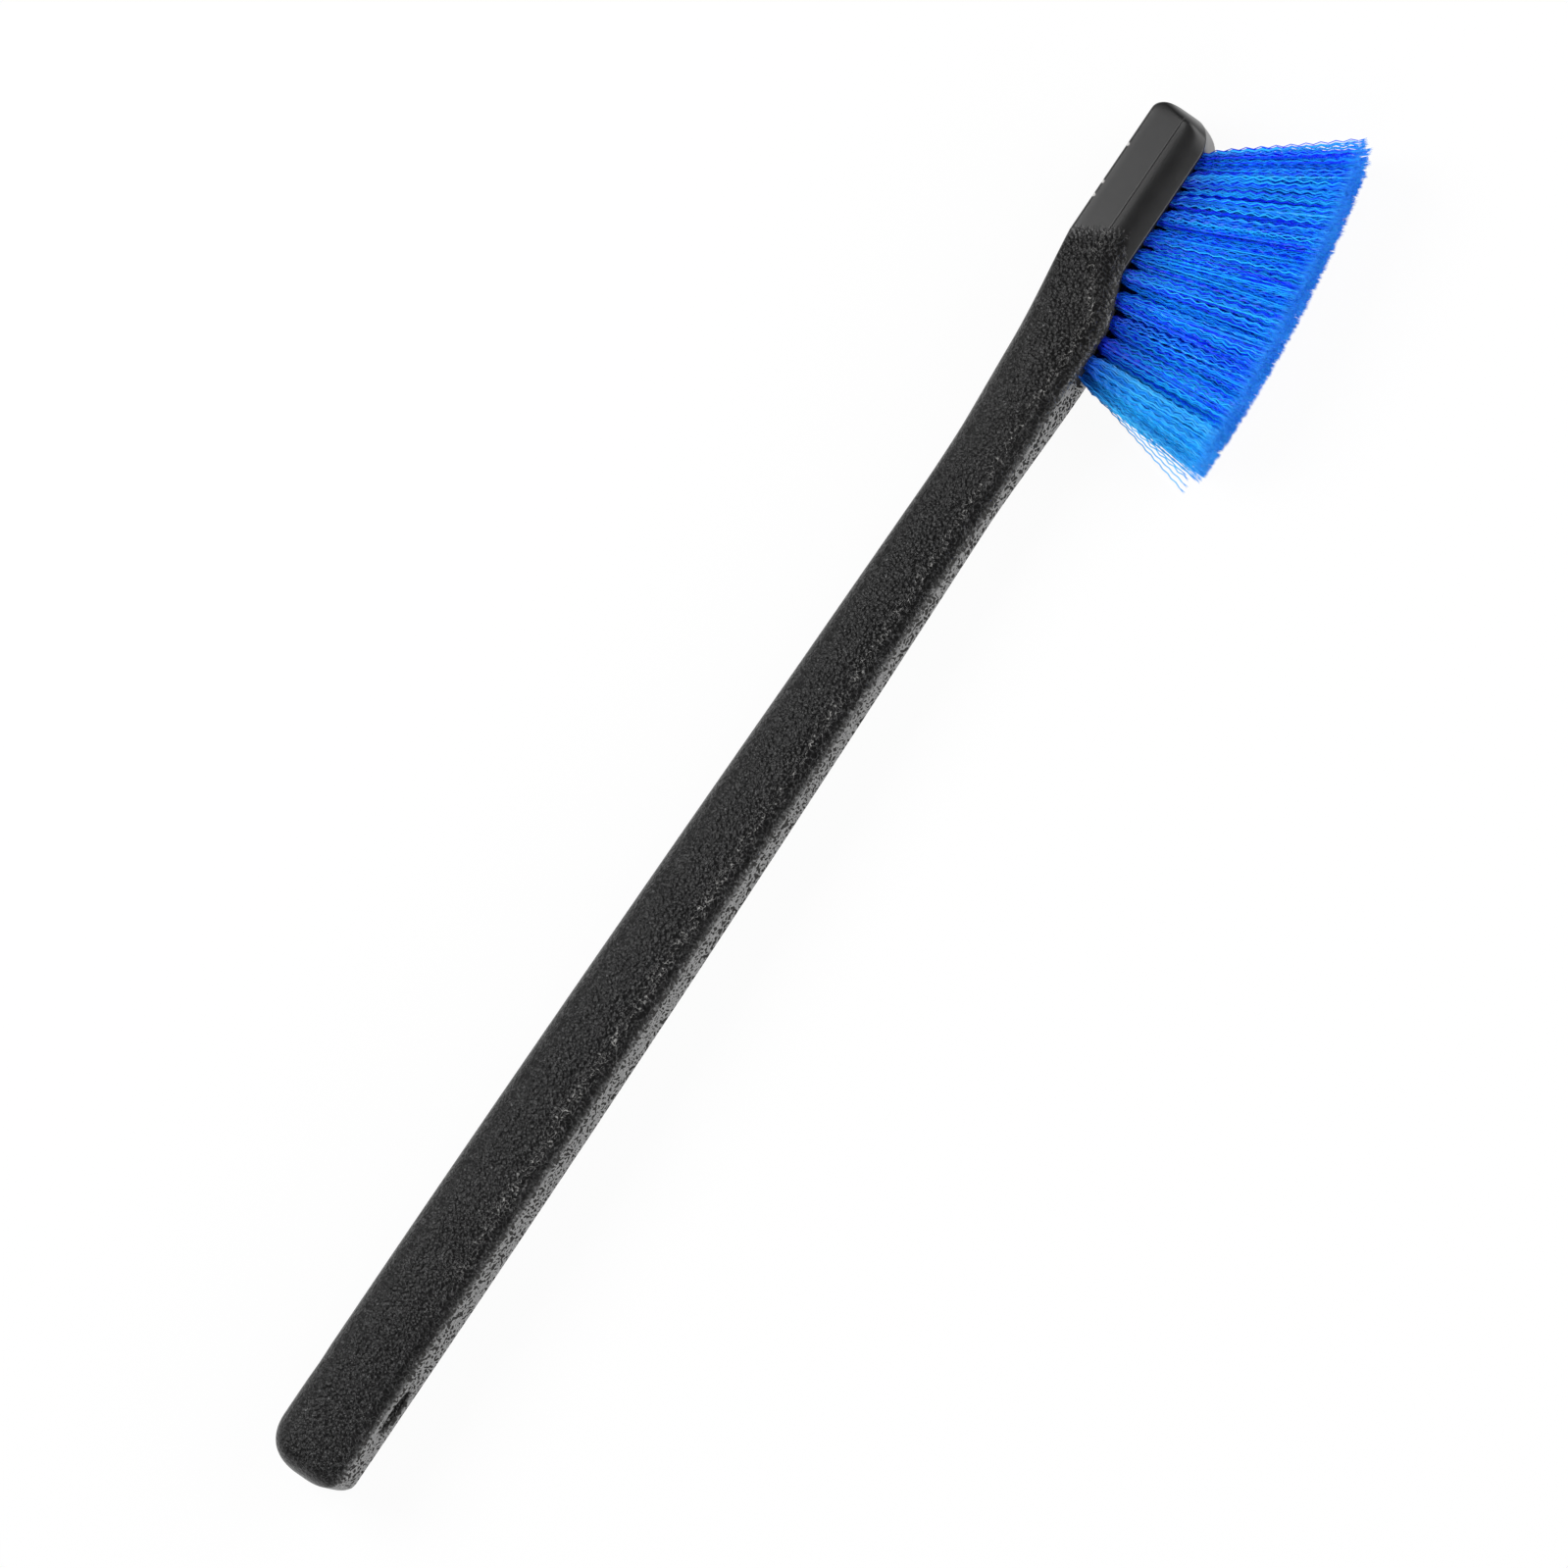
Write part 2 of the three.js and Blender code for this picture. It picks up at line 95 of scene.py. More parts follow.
# Where the smooth head begins
SMOOTH_BACK_SLOPE = 0.55
SMOOTH_FACE_START = 8 * MM
SMOOTH_FACE_SLOPE = 2.0

# Painted highlight along the parting line, painted sheen on the front face, and nicks in the handle
GRIP_HIGHLIGHT_WIDTH = 3.4 * MM
NECK_HIGHLIGHT_WIDTH = 1.8 * MM
HIGHLIGHT_START = (55 * MM, 120 * MM)
HIGHLIGHT_SIDE = 0.75
FRONT_PAINTED_SHEEN = 0.14
NICK_PLACES = (489 * MM, 475 * MM, 470 * MM)
NICK_SIZE = 0.9 * MM

# How finely the handle is modelled
STATION_STEP = 3.5 * MM
KNEE_STEP = 0.7 * MM
ROUNDING_STEPS = 20
FLAT_STEPS = 3
BACK_ARC_STEPS = 9
SIDE_STEPS = 6
SHOULDER_STEPS = 6
FRONT_ARC_STEPS = 5
ROUND_HOLE_SIDES = 64
TUFT_HOLE_SIDES = 20
CREASE_ANGLE = math.radians(38)

# Holes in the handle
HANG_HOLE_RIM = 0.9 * MM
HANG_HOLE_RIM_STEPS = 6
HANG_HOLE_RIM_SWEEP = math.radians(75)
OVERSHOOT = 3 * MM
TUFT_HOLE_DEPTH = 9 * MM

# How the tufts stand
ROWS = 4
TUFTS_PER_ROW = 11
TUFTS_OVER_NECK = 34.7 * MM
WALL_BESIDE_HOLES = 1.7 * MM
WALL_BEYOND_HOLES = 3.5 * MM
FRONT_LEAN = math.radians(34)
REAR_LEAN = math.radians(-1)
SIDE_SPLAY = math.radians(2)

# One filament
STRAND_SIDES = 3
STRAND_WAVES = 12.5
STRAND_ROOM_IN_HOLE = 0.86
STRAND_DEPTH = (3 * MM, 7.5 * MM)
STRAND_SHIFT = 0.15
STRAND_OUT_OF_STEP = 0.8 * MM
STRAND_TWIST = 0.9
STRAND_UNEVEN = (-0.5 * MM, 0.2 * MM)
STRAND_BEND = 1.3 * MM
SPLIT_FROM_TIP = 0.05
SPLITS = 3
SPLIT_THICKNESS = 0.6
SPLIT_REACH = 0.4 * MM
SPLIT_STEPS = (0.35, 0.65)
TUFT_SWELL = 0.8
TUFT_SWELL_LENGTH = 3.5 * MM
SETTLING_TURNS = 6
FLOOR_CLEARANCE = 1.1 * MM
GOLDEN_ANGLE = math.pi * (3 - math.sqrt(5))
SEED = 20

# The stray filaments
REAR_STRAY_LEAN = math.radians(-13.5)
FRONT_STRAY_LEAN = math.radians(-3.5)
STRAY_SPLAY = 0.03
STRAY_STEP_BACK = 0.4
STRAY_LENGTH = (0.93, 0.98)
STRAY_BEND = 0.26 * MM
STRAY_TONE = 1.0

# Tone of the filaments, with painted shade at the roots and in the neck's shadow and painted light on
# the rear tufts
TONE_SPREAD = 0.5
ROOT_DARK = 1.6 * MM
ROOT_SHADE = 14 * MM
PAINTED_ROOT_SHADE = 0.72
REAR_PAINTED_LIGHT = 0.9
PAINTED_LIGHT_LENGTH = 13 * MM
NECK_SHADE = 26 * MM
NECK_SHADE_LENGTH = 22 * MM
PAINTED_LIGHT_TONES = (1.0, 1.8)
TIP_LENGTH = 1.6 * SPLIT_FROM_TIP
TIP_PALENESS = 0.8
FILAMENT_GLOSS = 0.22

# Grain of the plastic
GRAIN_EDGE = (-2.5 * MM, 4 * MM)
PEBBLE_SCALE = 900.0
PEBBLE_STRETCH = (1.0, 1.0, 0.5)
PEBBLE_SMOOTHNESS = 0.3
PEBBLE_DEPTH = 0.6
WRINKLE_SCALE = 560.0
WRINKLE_WIDTH = 0.06
WRINKLE_HEIGHT = 0.5
FOLD_SCALE = 680.0
FOLD_STRETCH = (1.0, 1.0, 0.27)
FOLD_WIDTH = 0.112
BUMP_STRENGTH = 0.9
BUMP_DEPTH = 0.6 * MM

# Gloss of the plastic, and its painted shade and highlight, from the hollows of the grain to its tops
HEAD_GLOSS = 0.5
GRAIN_LEVELS = (-0.33, 0.3)
GRAIN_GLOSS = (0.17, 0.5)
GRAIN_SHADE_TO_HIGHLIGHT = (0.5, 1.7)
HIGHLIGHT_LEVELS = (0.0, 0.3)
FOLD_LEVELS = (0.0, 0.5)
FOLD_GLOSS = (0.0, 0.95)

# Noise of the cloudy variation
CLOUD_DETAIL = 4.0
CLOUD_ROUGHNESS = 0.6
CLOUD_LEVELS = (0.3, 0.7)

# Cloudy variation: how fine it is, its lowest and its highest value
HEAD_ROUGHNESS = (160.0, 0.32, 0.36)
GRAIN_ROUGHNESS = (420.0, 0.28, 0.36)
PLASTIC_DUST = (90.0, 0.8, 1.3)
FILAMENT_CLOUDS = (220.0, -0.15, 0.15)
FILAMENT_ROUGHNESS = (700.0, 0.35, 0.5)
WIRE_ROUGHNESS = (5200.0, 0.25, 0.5)
WIRE_FILM = (900.0, 0.0, 0.5)

# Wire of the anchors
WIRE_STRETCH = (1.0, 0.08, 1.0)
WIRE_DULLED = 0.6

# Lights: the place and size of each, in metres
KEY_LIGHT = ((-0.14, 0.95, 1.15), 0.8)
FILL_LIGHT = ((0.35, -1.46, 0.43), 1.0)
BUTT_LIGHT = ((-1.3, -0.35, 1.7), 0.8)
HEAD_LIGHT = ((1.4, -0.85, 1.0), 1.5)

# Floor, surroundings and camera
FLOOR_SIZE = 40.0
FLOOR_DROP = 0.15 * MM
FLOOR_GLOW = 0.94
HORIZON = (0.15, 0.6)
SENSOR_WIDTH = 36.0
VIEW_END = 100.0


def span(name, description, default):
    """A setting that is a length."""
    return bpy.props.FloatProperty(
        name=name, description=description, default=default, unit="LENGTH", precision=5
    )


def amount(name, description, default, subtype="NONE"):
    """A setting that is a number of some kind."""
    return bpy.props.FloatProperty(name=name, description=description, default=default, subtype=subtype)


def colour(name, description, default):
    """A setting that is a colour."""
    return bpy.props.FloatVectorProperty(
        name=name, description=description, default=default, size=3, subtype="COLOR"
    )


class HandleSizes(bpy.types.PropertyGroup):
    """Sizes of the moulded handle."""

    grip_length: span("Grip length", "From the butt to the neck", 367 * MM)
    neck_length: span("Neck length", "From the neck to the head", 90 * MM)
    head_length: span("Head length", "Smooth head block", 51 * MM)
    grip_width: span("Grip width", "Across the grip at the butt", 32.5 * MM)
    neck_width: span("Neck width", "Across the neck", 19.5 * MM)
    head_width: span("Head width", "Across the head", 33 * MM)
    grip_back: span("Grip back", "From the axis to the grip's back", 14.2 * MM)
    grip_front: span("Grip front", "From the axis to the grip's front", 14 * MM)
    neck_back: span("Neck back", "From the axis to the neck's back", 12 * MM)
    neck_front: span("Neck front", "From the axis to the neck's front", 11 * MM)
    head_back: span("Head back", "From the axis to the head's back", 16.9 * MM)
    head_front: span("Head front", "From the axis to the bristle face", 4.7 * MM)
    hang_hole: span("Hang hole", "Diameter of the hang hole", 16 * MM)
    hang_hole_place: span("Hang hole place", "From the butt to the hang hole", 33 * MM)
    tuft_hole: span("Tuft hole", "Diameter of a tuft's hole", 4.8 * MM)


class BristleSizes(bpy.types.PropertyGroup):
    """Sizes of the tufts and their filaments."""

    trim_length: span("Trim length", "From the head's face to the tips", 54 * MM)
    trim_drop: span("Trim drop", "How much lower the tips are cut at the front", 13.8 * MM)
    trim_overhang: span("Trim overhang", "How far the front tips reach past the head", 25 * MM)
    strands: bpy.props.IntProperty(
        name="Strands", description="Filament ends in one tuft", default=96, min=8
    )
    strand_thickness: span("Filament", "Thickness of one filament", 0.4 * MM)
    crimp: span("Crimp", "How far a wave swings", 0.4 * MM)
    spread_along: amount("Spread along", "How a tuft opens along its row, per mm from its middle", 0.018)
    spread_across: amount("Spread across", "How a tuft opens across, per mm from its middle", 0.009)
    strays: bpy.props.IntProperty(
        name="Strays", description="Loose filaments behind the rear tufts", default=6, min=0
    )


class BrushColours(bpy.types.PropertyGroup):
    """Colours of the finishes."""

    plastic: colour("Plastic", "Black plastic", (0.0078, 0.0077, 0.008))
    # Painted highlight: the light grey of the grain tops along the parting line and of the front face
    # between its folds.
    painted_highlight: colour("Rubbed", "Tops of the grain along the parting line", (0.24, 0.236, 0.228))
    scuffed: colour("Scuffed", "Nicks in the plastic", (0.5, 0.49, 0.48))
    blue_deep: colour("Deep blue", "Darkest filament", (0.002, 0.022, 1.0))
    blue_light: colour("Light blue", "Lightest filament", (0.016, 0.49, 1.0))
    # Painted light: the rear tufts are coloured paler where more light reaches them.
    blue_painted_light: colour("Pale blue", "Filament at the rear", (0.06, 0.53, 1.0))
    blue_tip: colour("Tip blue", "Split tips", (0.03, 0.28, 0.82))
    # Painted shade: the colour that the filaments turn to near their roots, deep between the tufts and
    # in the neck's shadow.
    blue_painted_shade: colour("Root blue", "Filament deep between the tufts", (0.002, 0.004, 0.45))
    wire: colour("Wire", "Anchor wire", (0.55, 0.55, 0.53))
    floor: colour("Floor", "Studio floor", (0.82, 0.82, 0.82))


class StudioSettings(bpy.types.PropertyGroup):
    """Camera and lights."""

    view_centre: bpy.props.FloatVectorProperty(
        name="View centre", description="Middle of the picture, on the brush's own axes",
        default=(0.2637, -0.00493, 0.00386), size=3, subtype="TRANSLATION", unit="LENGTH",
    )
    view_tilt: amount("View tilt", "Turn towards the bristle side", math.radians(9.124), "ANGLE")
    view_turn: amount("View turn", "Turn of the camera", math.radians(-55.94), "ANGLE")
    view_width: span("View width", "What the picture spans", 489.6 * MM)
    lens: amount("Lens", "Focal length in mm", 300.0, "DISTANCE_CAMERA")
    key_power: amount("Key light", "Large soft light behind the back", 17.0, "POWER")
    fill_power: amount("Fill light", "Soft light on the bristle side", 11.0, "POWER")
    butt_power: amount("Butt light", "Soft light past the butt", 9.0, "POWER")
    head_power: amount("Head light", "Low soft light past the head", 23.0, "POWER")
    ambient: amount("Ambient", "Light from overhead; the horizon is white", 0.06)


def share(value, start, end):
    """How far value has come from start to end, 0 to 1."""
    return min(max((value - start) / (end - start), 0.0), 1.0)


def eased(value, start, end):
    """The same with a soft start and end."""
    part = share(value, start, end)
    return part * part * (3.0 - 2.0 * part)


def between(start, end, part):
    """The value that lies that part of the way from start to end."""
    return start + (end - start) * part


def lying():
    """The matrix that lays the brush from its own axes on the floor."""
    turn = Matrix.Rotation(LIE_ROLL, 4, "X") @ Matrix.Rotation(LIE_PITCH, 4, "Y")
    return Matrix.Translation(BUTT_PLACE) @ turn


LYING_TURN = np.array(lying().to_3x3())


def neck_place(sizes):
    """Where the grip is at its narrowest and the neck begins."""
    return sizes.grip_length


def head_place(sizes):
    """Where the neck ends and the head begins."""
    return sizes.grip_length + sizes.neck_length


def end_place(sizes):
    """Where the head ends."""
    return head_place(sizes) + sizes.head_length


def ramp_place(sizes):
    """Where the front of the neck begins to slope to the bristle face."""
    return head_place(sizes) - FACE_RAMP_LENGTH


def flare_end(sizes):
    """Where the neck has flared to the width of the head."""
    return head_place(sizes) - TUFTS_OVER_NECK - sizes.tuft_hole


def taper_at(sizes, x):
    """How far the grip has narrowed to the neck."""
    return share(x, BUTT_LENGTH, neck_place(sizes)) ** TAPER_CURVE


def front_at(sizes, x):
    """From the axis to the front face, where the bristles stand."""
    grip = between(sizes.grip_front, sizes.neck_front, taper_at(sizes, x))
    return between(grip, sizes.head_front, eased(x, ramp_place(sizes), head_place(sizes)))


def back_at(sizes, x):
    """From the axis to the back, which breaks in a crisp knee where the head begins."""
    grip = between(sizes.grip_back, sizes.neck_back, taper_at(sizes, x))
    return between(grip, sizes.head_back, share(x, neck_place(sizes), head_place(sizes)) ** 2)


def half_width_at(sizes, x):
    """Half the width at the parting line."""
    grip = between(sizes.grip_width, sizes.neck_width, taper_at(sizes, x))
    return between(grip, sizes.head_width, eased(x, neck_place(sizes), flare_end(sizes))) / 2


def parting_at(sizes, x):
    """From the front face to the parting line."""
    ramp = eased(x, ramp_place(sizes), head_place(sizes))
    return between(GRIP_PARTING_HEIGHT, (back_at(sizes, x) + front_at(sizes, x)) / 2, ramp)


def end_scale(sizes, x, butt_rounding, head_rounding):
    """How much of the section is left where an end rounds off."""
    end = end_place(sizes)
    gone = max(share(x, butt_rounding, 0.0), share(x, end - head_rounding, end))
    return max(END_TIP, (1.0 - gone**END_ROUNDNESS) ** (1.0 / END_ROUNDNESS))


def hump(part):
    """Rises softly from 0 at the start to 1 in the middle, and falls back to 0 at the end."""
    return 16 * part**2 * (1 - part) ** 2


def back_quarter(height, half, draft, radius, bulge):
    """Points from the middle of the back round to the parting line, as height over it and width."""
    turn = math.pi / 2 - math.atan(draft / height)
    arc = min(radius, ARC_ROOM * min(half - draft, height) / math.tan(turn / 2))
    arc_start = half - draft - arc * math.tan(turn / 2)
    points = [(height, arc_start * step / FLAT_STEPS) for step in range(FLAT_STEPS)]
    for step in range(BACK_ARC_STEPS + 1):
        angle = turn * step / BACK_ARC_STEPS
        points.append((height - arc + arc * math.cos(angle), arc_start + arc * math.sin(angle)))
    low, wide = points[-1]
    for step in range(1, SIDE_STEPS):
        part = step / SIDE_STEPS
        points.append((low * (1 - part), between(wide, half, part) + bulge * hump(part)))
    return points


def front_quarter(height, half, draft, radius, start, shoulder, slope):
    """Points from the parting line over its soft shoulder to the middle of the front face."""
    even = start + shoulder / 2
    final = (draft + slope * even) / (height - even)
    turn = math.pi / 2 - math.atan(final)
    arc = min(radius, ARC_ROOM * min(half - draft, height - start - shoulder) / math.tan(turn / 2))
    arc_start = half - draft - arc * math.tan(turn / 2)
    points = []
    for step in range(SHOULDER_STEPS + 1):
        down = shoulder * step / SHOULDER_STEPS
        turned = (slope + final) * down**2 / (2 * shoulder)
        points.append((-start - down, half + slope * (start + down) - turned))
    for step in range(FRONT_ARC_STEPS + 1):
        angle = turn * (1 - step / FRONT_ARC_STEPS)
        points.append((-height + arc - arc * math.cos(angle), arc_start + arc * math.sin(angle)))
    points += [(-height, arc_start * (1 - step / FLAT_STEPS)) for step in range(1, FLAT_STEPS + 1)]
    return points


def section(sizes, x):
    """One ring of points round the handle."""
    front = front_at(sizes, x)
    back = back_at(sizes, x)
    half = half_width_at(sizes, x)
    head = eased(x, flare_end(sizes), head_place(sizes))
    ramp = eased(x, ramp_place(sizes), head_place(sizes))
    parting = parting_at(sizes, x)
    height = back + front - parting
    back_draft = between(GRIP_BACK_DRAFT, HEAD_BACK_DRAFT, head)
    back_radius = between(GRIP_BACK_RADIUS, HEAD_BACK_RADIUS, head)
    front_draft = between(GRIP_FRONT_DRAFT, HEAD_FRONT_DRAFT, head)
    front_radius = between(GRIP_FRONT_RADIUS, HEAD_FRONT_RADIUS, head)
    start = between(GRIP_SHOULDER_START, HEAD_SHOULDER_START, ramp)
    shoulder = between(GRIP_SHOULDER, HEAD_SHOULDER, ramp)
    upper = back_quarter(height, half, back_draft, back_radius, between(GRIP_BULGE, 0.0, head))
    slope = back_draft / height
    flash = [(up, half - slope * up) for up in (FLASH_REST, FLASH_WIDTH, -FLASH_WIDTH, -FLASH_REST)]
    flash.insert(2, (0.0, half + FLASH_HEIGHT))
    lower = front_quarter(parting, half, front_draft, front_radius, start, shoulder, slope)
    middle = (back - front) / 2
    back_scale = end_scale(sizes, x, BUTT_ROUNDING, HEAD_ROUNDING)
    face_scale = end_scale(sizes, x, BUTT_FACE_ROUNDING, HEAD_FACE_ROUNDING)
    side = []
    for up, out in upper + flash + lower:
        rise = up + parting - front - middle
        scale = back_scale if rise > 0 else face_scale
        rounding = between(HEAD_BACK_SIDE_ROUNDING, HEAD_FACE_SIDE_ROUNDING, share(up, height, -parting))
        side_scale = end_scale(sizes, x, BUTT_SIDE_ROUNDING, rounding)
        side.append((middle + rise * scale, out * side_scale))
    ring = side + [(y, -z) for y, z in side[-2:0:-1]]
    return [Vector((x, y, z)) for y, z in ring]


def stations(sizes):
    """Places along the handle where its section is set, closer at the ends and the knee."""
    end = end_place(sizes)
    quarter = math.pi / 2 / ROUNDING_STEPS
    places = [BUTT_ROUNDING * (1 - math.cos(quarter * step)) for step in range(ROUNDING_STEPS)]
    steps = round((end - HEAD_FACE_ROUNDING - BUTT_ROUNDING) / STATION_STEP)
    for step in range(steps):
        places.append(between(BUTT_ROUNDING, end - HEAD_FACE_ROUNDING, step / steps))
    for step in range(ROUNDING_STEPS + 1):
        places.append(end - HEAD_FACE_ROUNDING * (1 - math.sin(quarter * step)))
    knee = head_place(sizes)
    places = [place for place in places if abs(place - knee) > 2 * KNEE_STEP]
    return sorted(places + [knee - KNEE_STEP, knee, knee + KNEE_STEP])


def only(piece):
    """Selects one piece alone."""
    bpy.ops.object.select_all(action="DESELECT")
    piece.select_set(True)
    bpy.context.view_layer.objects.active = piece


def join(pieces):
    """Makes one piece of several."""
    only(pieces[0])
    for piece in pieces:
        piece.select_set(True)
    bpy.ops.object.join()
    return pieces[0]


def disc(sides, radius, place=(0, 0, 0)):
    """A flat disc, selected alone, as a start for what is drawn out of it."""
    bpy.ops.object.select_all(action="DESELECT")
    bpy.ops.mesh.primitive_circle_add(vertices=sides, radius=radius, fill_type="NGON", location=place)
    return bpy.context.object


def keep(mesh, name, values):
    """Keeps a value on each point of a mesh, for its material to read."""
    attribute = mesh.attributes.new(name, "FLOAT", "POINT")
    attribute.data.foreach_set("value", np.asarray(values, np.float32))


def loft(name, rings):
    """A closed form drawn through rings of points: a disc is extruded from each ring to the next."""
    piece = disc(len(rings[0]), MM)
    piece.name = name
    bpy.ops.object.mode_set(mode="EDIT")
    order = list(range(len(rings[0])))
    place_ring(piece, order, rings[0])
    for ring in rings[1:]:
        bpy.ops.mesh.extrude_region_move()
        order = next_ring(piece, order)
        place_ring(piece, order, ring)
    bpy.ops.mesh.select_all(action="SELECT")
    bpy.ops.mesh.fill_holes(sides=0)
    bpy.ops.mesh.normals_make_consistent(inside=False)
    bpy.ops.object.mode_set(mode="OBJECT")
    return piece


def place_ring(piece, order, ring):
    """Sets the points of a ring, which are named in order, on their places."""
    mesh = bmesh.from_edit_mesh(piece.data)
    mesh.verts.ensure_lookup_table()
    for index, place in zip(order, ring):
        mesh.verts[index].co = place
    bmesh.update_edit_mesh(piece.data)


def next_ring(piece, order):
    """The points that an extrusion has just drawn out of a ring, in the ring's order."""
    mesh = bmesh.from_edit_mesh(piece.data)
    mesh.verts.index_update()
    mesh.verts.ensure_lookup_table()
    drawn = []
    for index in order:
        point = mesh.verts[index]
        others = [edge.other_vert(point) for edge in point.link_edges]
        drawn.append(next(other.index for other in others if other.select))
    return drawn


def cut(piece, cutter):
    """Cuts the cutter's form out of a piece and takes the cutter away."""
    only(piece)
    bpy.ops.object.modifier_add(type="BOOLEAN")
    modifier = piece.modifiers[-1]
    modifier.operation = "DIFFERENCE"
    modifier.solver = "EXACT"
    modifier.object = cutter
    bpy.ops.object.modifier_apply(modifier=modifier.name)
    bpy.data.objects.remove(cutter, do_unlink=True)


def circle(x, y, radius):
    """A ring round an axis that runs front to back at x."""
    angles = [2 * math.pi * step / ROUND_HOLE_SIDES for step in range(ROUND_HOLE_SIDES)]
    return [Vector((x + radius * math.cos(a), y, radius * math.sin(a))) for a in angles]


def hang_hole_cutter(sizes):
    """The hang hole with its rounded rims, as a solid."""
    x = sizes.hang_hole_place
    bore = sizes.hang_hole / 2
    rim = []
    for step in range(HANG_HOLE_RIM_STEPS + 1):
        angle = HANG_HOLE_RIM_SWEEP * step / HANG_HOLE_RIM_STEPS
        rim.append((HANG_HOLE_RIM * (1 - math.sin(angle)), bore + HANG_HOLE_RIM * (1 - math.cos(angle))))
    depth, radius = rim[-1]
    rim.append((depth - OVERSHOOT, radius + OVERSHOOT * math.tan(HANG_HOLE_RIM_SWEEP)))
    front = -front_at(sizes, x)
    back = back_at(sizes, x) - FLASH_WIDTH
    rings = [circle(x, front + depth, radius) for depth, radius in reversed(rim)]
    rings += [circle(x, back - depth, radius) for depth, radius in rim]
    return loft("hang_hole_cutter", rings)


def first_tuft(handle):
    """Where the tufts by the head's end stand along the handle."""
    return end_place(handle) - HEAD_ROUNDING - WALL_BEYOND_HOLES - handle.tuft_hole / 2


def last_tuft(handle):
    """Where the tufts by the neck stand along the handle."""
    return head_place(handle) - TUFTS_OVER_NECK


def tuft_places(handle):
    """Each tuft's row and number, its root on the face and the way it points."""
    outer = handle.head_width / 2 - HEAD_FRONT_DRAFT - WALL_BESIDE_HOLES - handle.tuft_hole / 2
    first = first_tuft(handle)
    last = last_tuft(handle)
    pitch = (first - last) / (TUFTS_PER_ROW - 0.5)
    places = []
    for row in range(ROWS):
        z = between(-outer, outer, row / (ROWS - 1))
        for tuft in range(TUFTS_PER_ROW):
            x = first - (tuft + 0.5 * (row % 2 == 0)) * pitch
            lean = between(REAR_LEAN, FRONT_LEAN, share(x, last, first))
            splay = SIDE_SPLAY * z / outer
            way = Vector((math.tan(lean), -1.0, math.tan(splay))).normalized()
            places.append((row, tuft, Vector((x, -front_at(handle, x), z)), way))
    return places


def tuft_hole_cutter(sizes):
    """All the blind holes of the tufts, as one solid."""
    holes = []
    for _, _, root, way in tuft_places(sizes):
        middle = root + way * (OVERSHOOT - TUFT_HOLE_DEPTH) / 2
        bpy.ops.object.select_all(action="DESELECT")
        bpy.ops.mesh.primitive_cylinder_add(
            vertices=TUFT_HOLE_SIDES,
            radius=sizes.tuft_hole / 2,
            depth=TUFT_HOLE_DEPTH + OVERSHOOT,
            location=middle,
            rotation=way.to_track_quat("Z", "Y").to_euler(),
        )
        holes.append(bpy.context.object)
    return join(holes)


def smooth_from(sizes, y):
    """Where the smooth head begins at a height: at the knee on the back, nearer the grip by the face."""
    by_back = head_place(sizes) + SMOOTH_BACK_SLOPE * (sizes.head_back - y)
    by_face = head_place(sizes) + SMOOTH_FACE_START + SMOOTH_FACE_SLOPE * y
    return min(by_back, by_face)


def facing_front(sizes, point):
    """How far a point lies on the flat front face, 0 beyond its rounded edges."""
    return eased(point.y + front_at(sizes, point.x), GRIP_FRONT_RADIUS, 0.0)


def painted_highlight_at(sizes, point):
    """How much painted highlight the grain tops get along the parting line."""
    up = point.y + front_at(sizes, point.x)
    width = between(GRIP_HIGHLIGHT_WIDTH, NECK_HIGHLIGHT_WIDTH, taper_at(sizes, point.x))
    if abs(point.z) < HIGHLIGHT_SIDE * half_width_at(sizes, point.x):
        return 0.0
    return eased(abs(up - parting_at(sizes, point.x)), width, 0.0) * eased(point.x, *HIGHLIGHT_START)


def mark_grain(piece, sizes):
    """Keeps on each point how far inside the grain, how much painted highlight and how far on the front
    it is.
    """
    places = [vertex.co.copy() for vertex in piece.data.vertices]
    keep(piece.data, "grain", [smooth_from(sizes, place.y) - place.x for place in places])
    keep(piece.data, "painted_highlight", [painted_highlight_at(sizes, place) for place in places])
    keep(piece.data, "front", [facing_front(sizes, place) for place in places])


def lay_down(piece):
    """Lays a piece from the brush's own axes on the floor, with its place in its mesh."""
    only(piece)
    piece.matrix_world = lying() @ piece.matrix_world
    bpy.ops.object.transform_apply(location=True, rotation=True, scale=True)


def model_handle(sizes):
    """The moulding: lofted from butt to head, with the hang hole and the tufts' holes cut in."""
    handle = loft("moulded_handle", [section(sizes, x) for x in stations(sizes)])
    cut(handle, hang_hole_cutter(sizes))
    cut(handle, tuft_hole_cutter(sizes))
    mark_grain(handle, sizes)
    lay_down(handle)
    bpy.ops.object.shade_smooth_by_angle(angle=CREASE_ANGLE)
    return handle


def model_strand(sizes):
    """One straight crimped filament with a split tip, a unit long, as a start for all of them."""
    radius = sizes.strand_thickness / 2
    strand = disc(STRAND_SIDES, radius)
    bpy.ops.object.mode_set(mode="EDIT")
    bpy.ops.transform.translate(value=(-sizes.crimp, 0, 0))
    steps = round(2 * STRAND_WAVES * (1 - SPLIT_FROM_TIP))
    swing = 2 * sizes.crimp
    for _ in range(steps):
        bpy.ops.mesh.extrude_region_move(
            TRANSFORM_OT_translate={"value": (swing, 0, (1 - SPLIT_FROM_TIP) / steps)}
        )
        swing = -swing
    bpy.ops.object.mode_set(mode="OBJECT")
    side = sizes.crimp if steps % 2 else -sizes.crimp
    parts = [strand]
    for split in range(SPLITS):
        parts.append(model_split(radius * SPLIT_THICKNESS, side, 2 * math.pi * split / SPLITS))
    join(parts)
    bpy.ops.object.mode_set(mode="EDIT")
    bpy.ops.mesh.select_all(action="SELECT")
    bpy.ops.mesh.normals_make_consistent(inside=False)
    bpy.ops.object.mode_set(mode="OBJECT")
    return strand


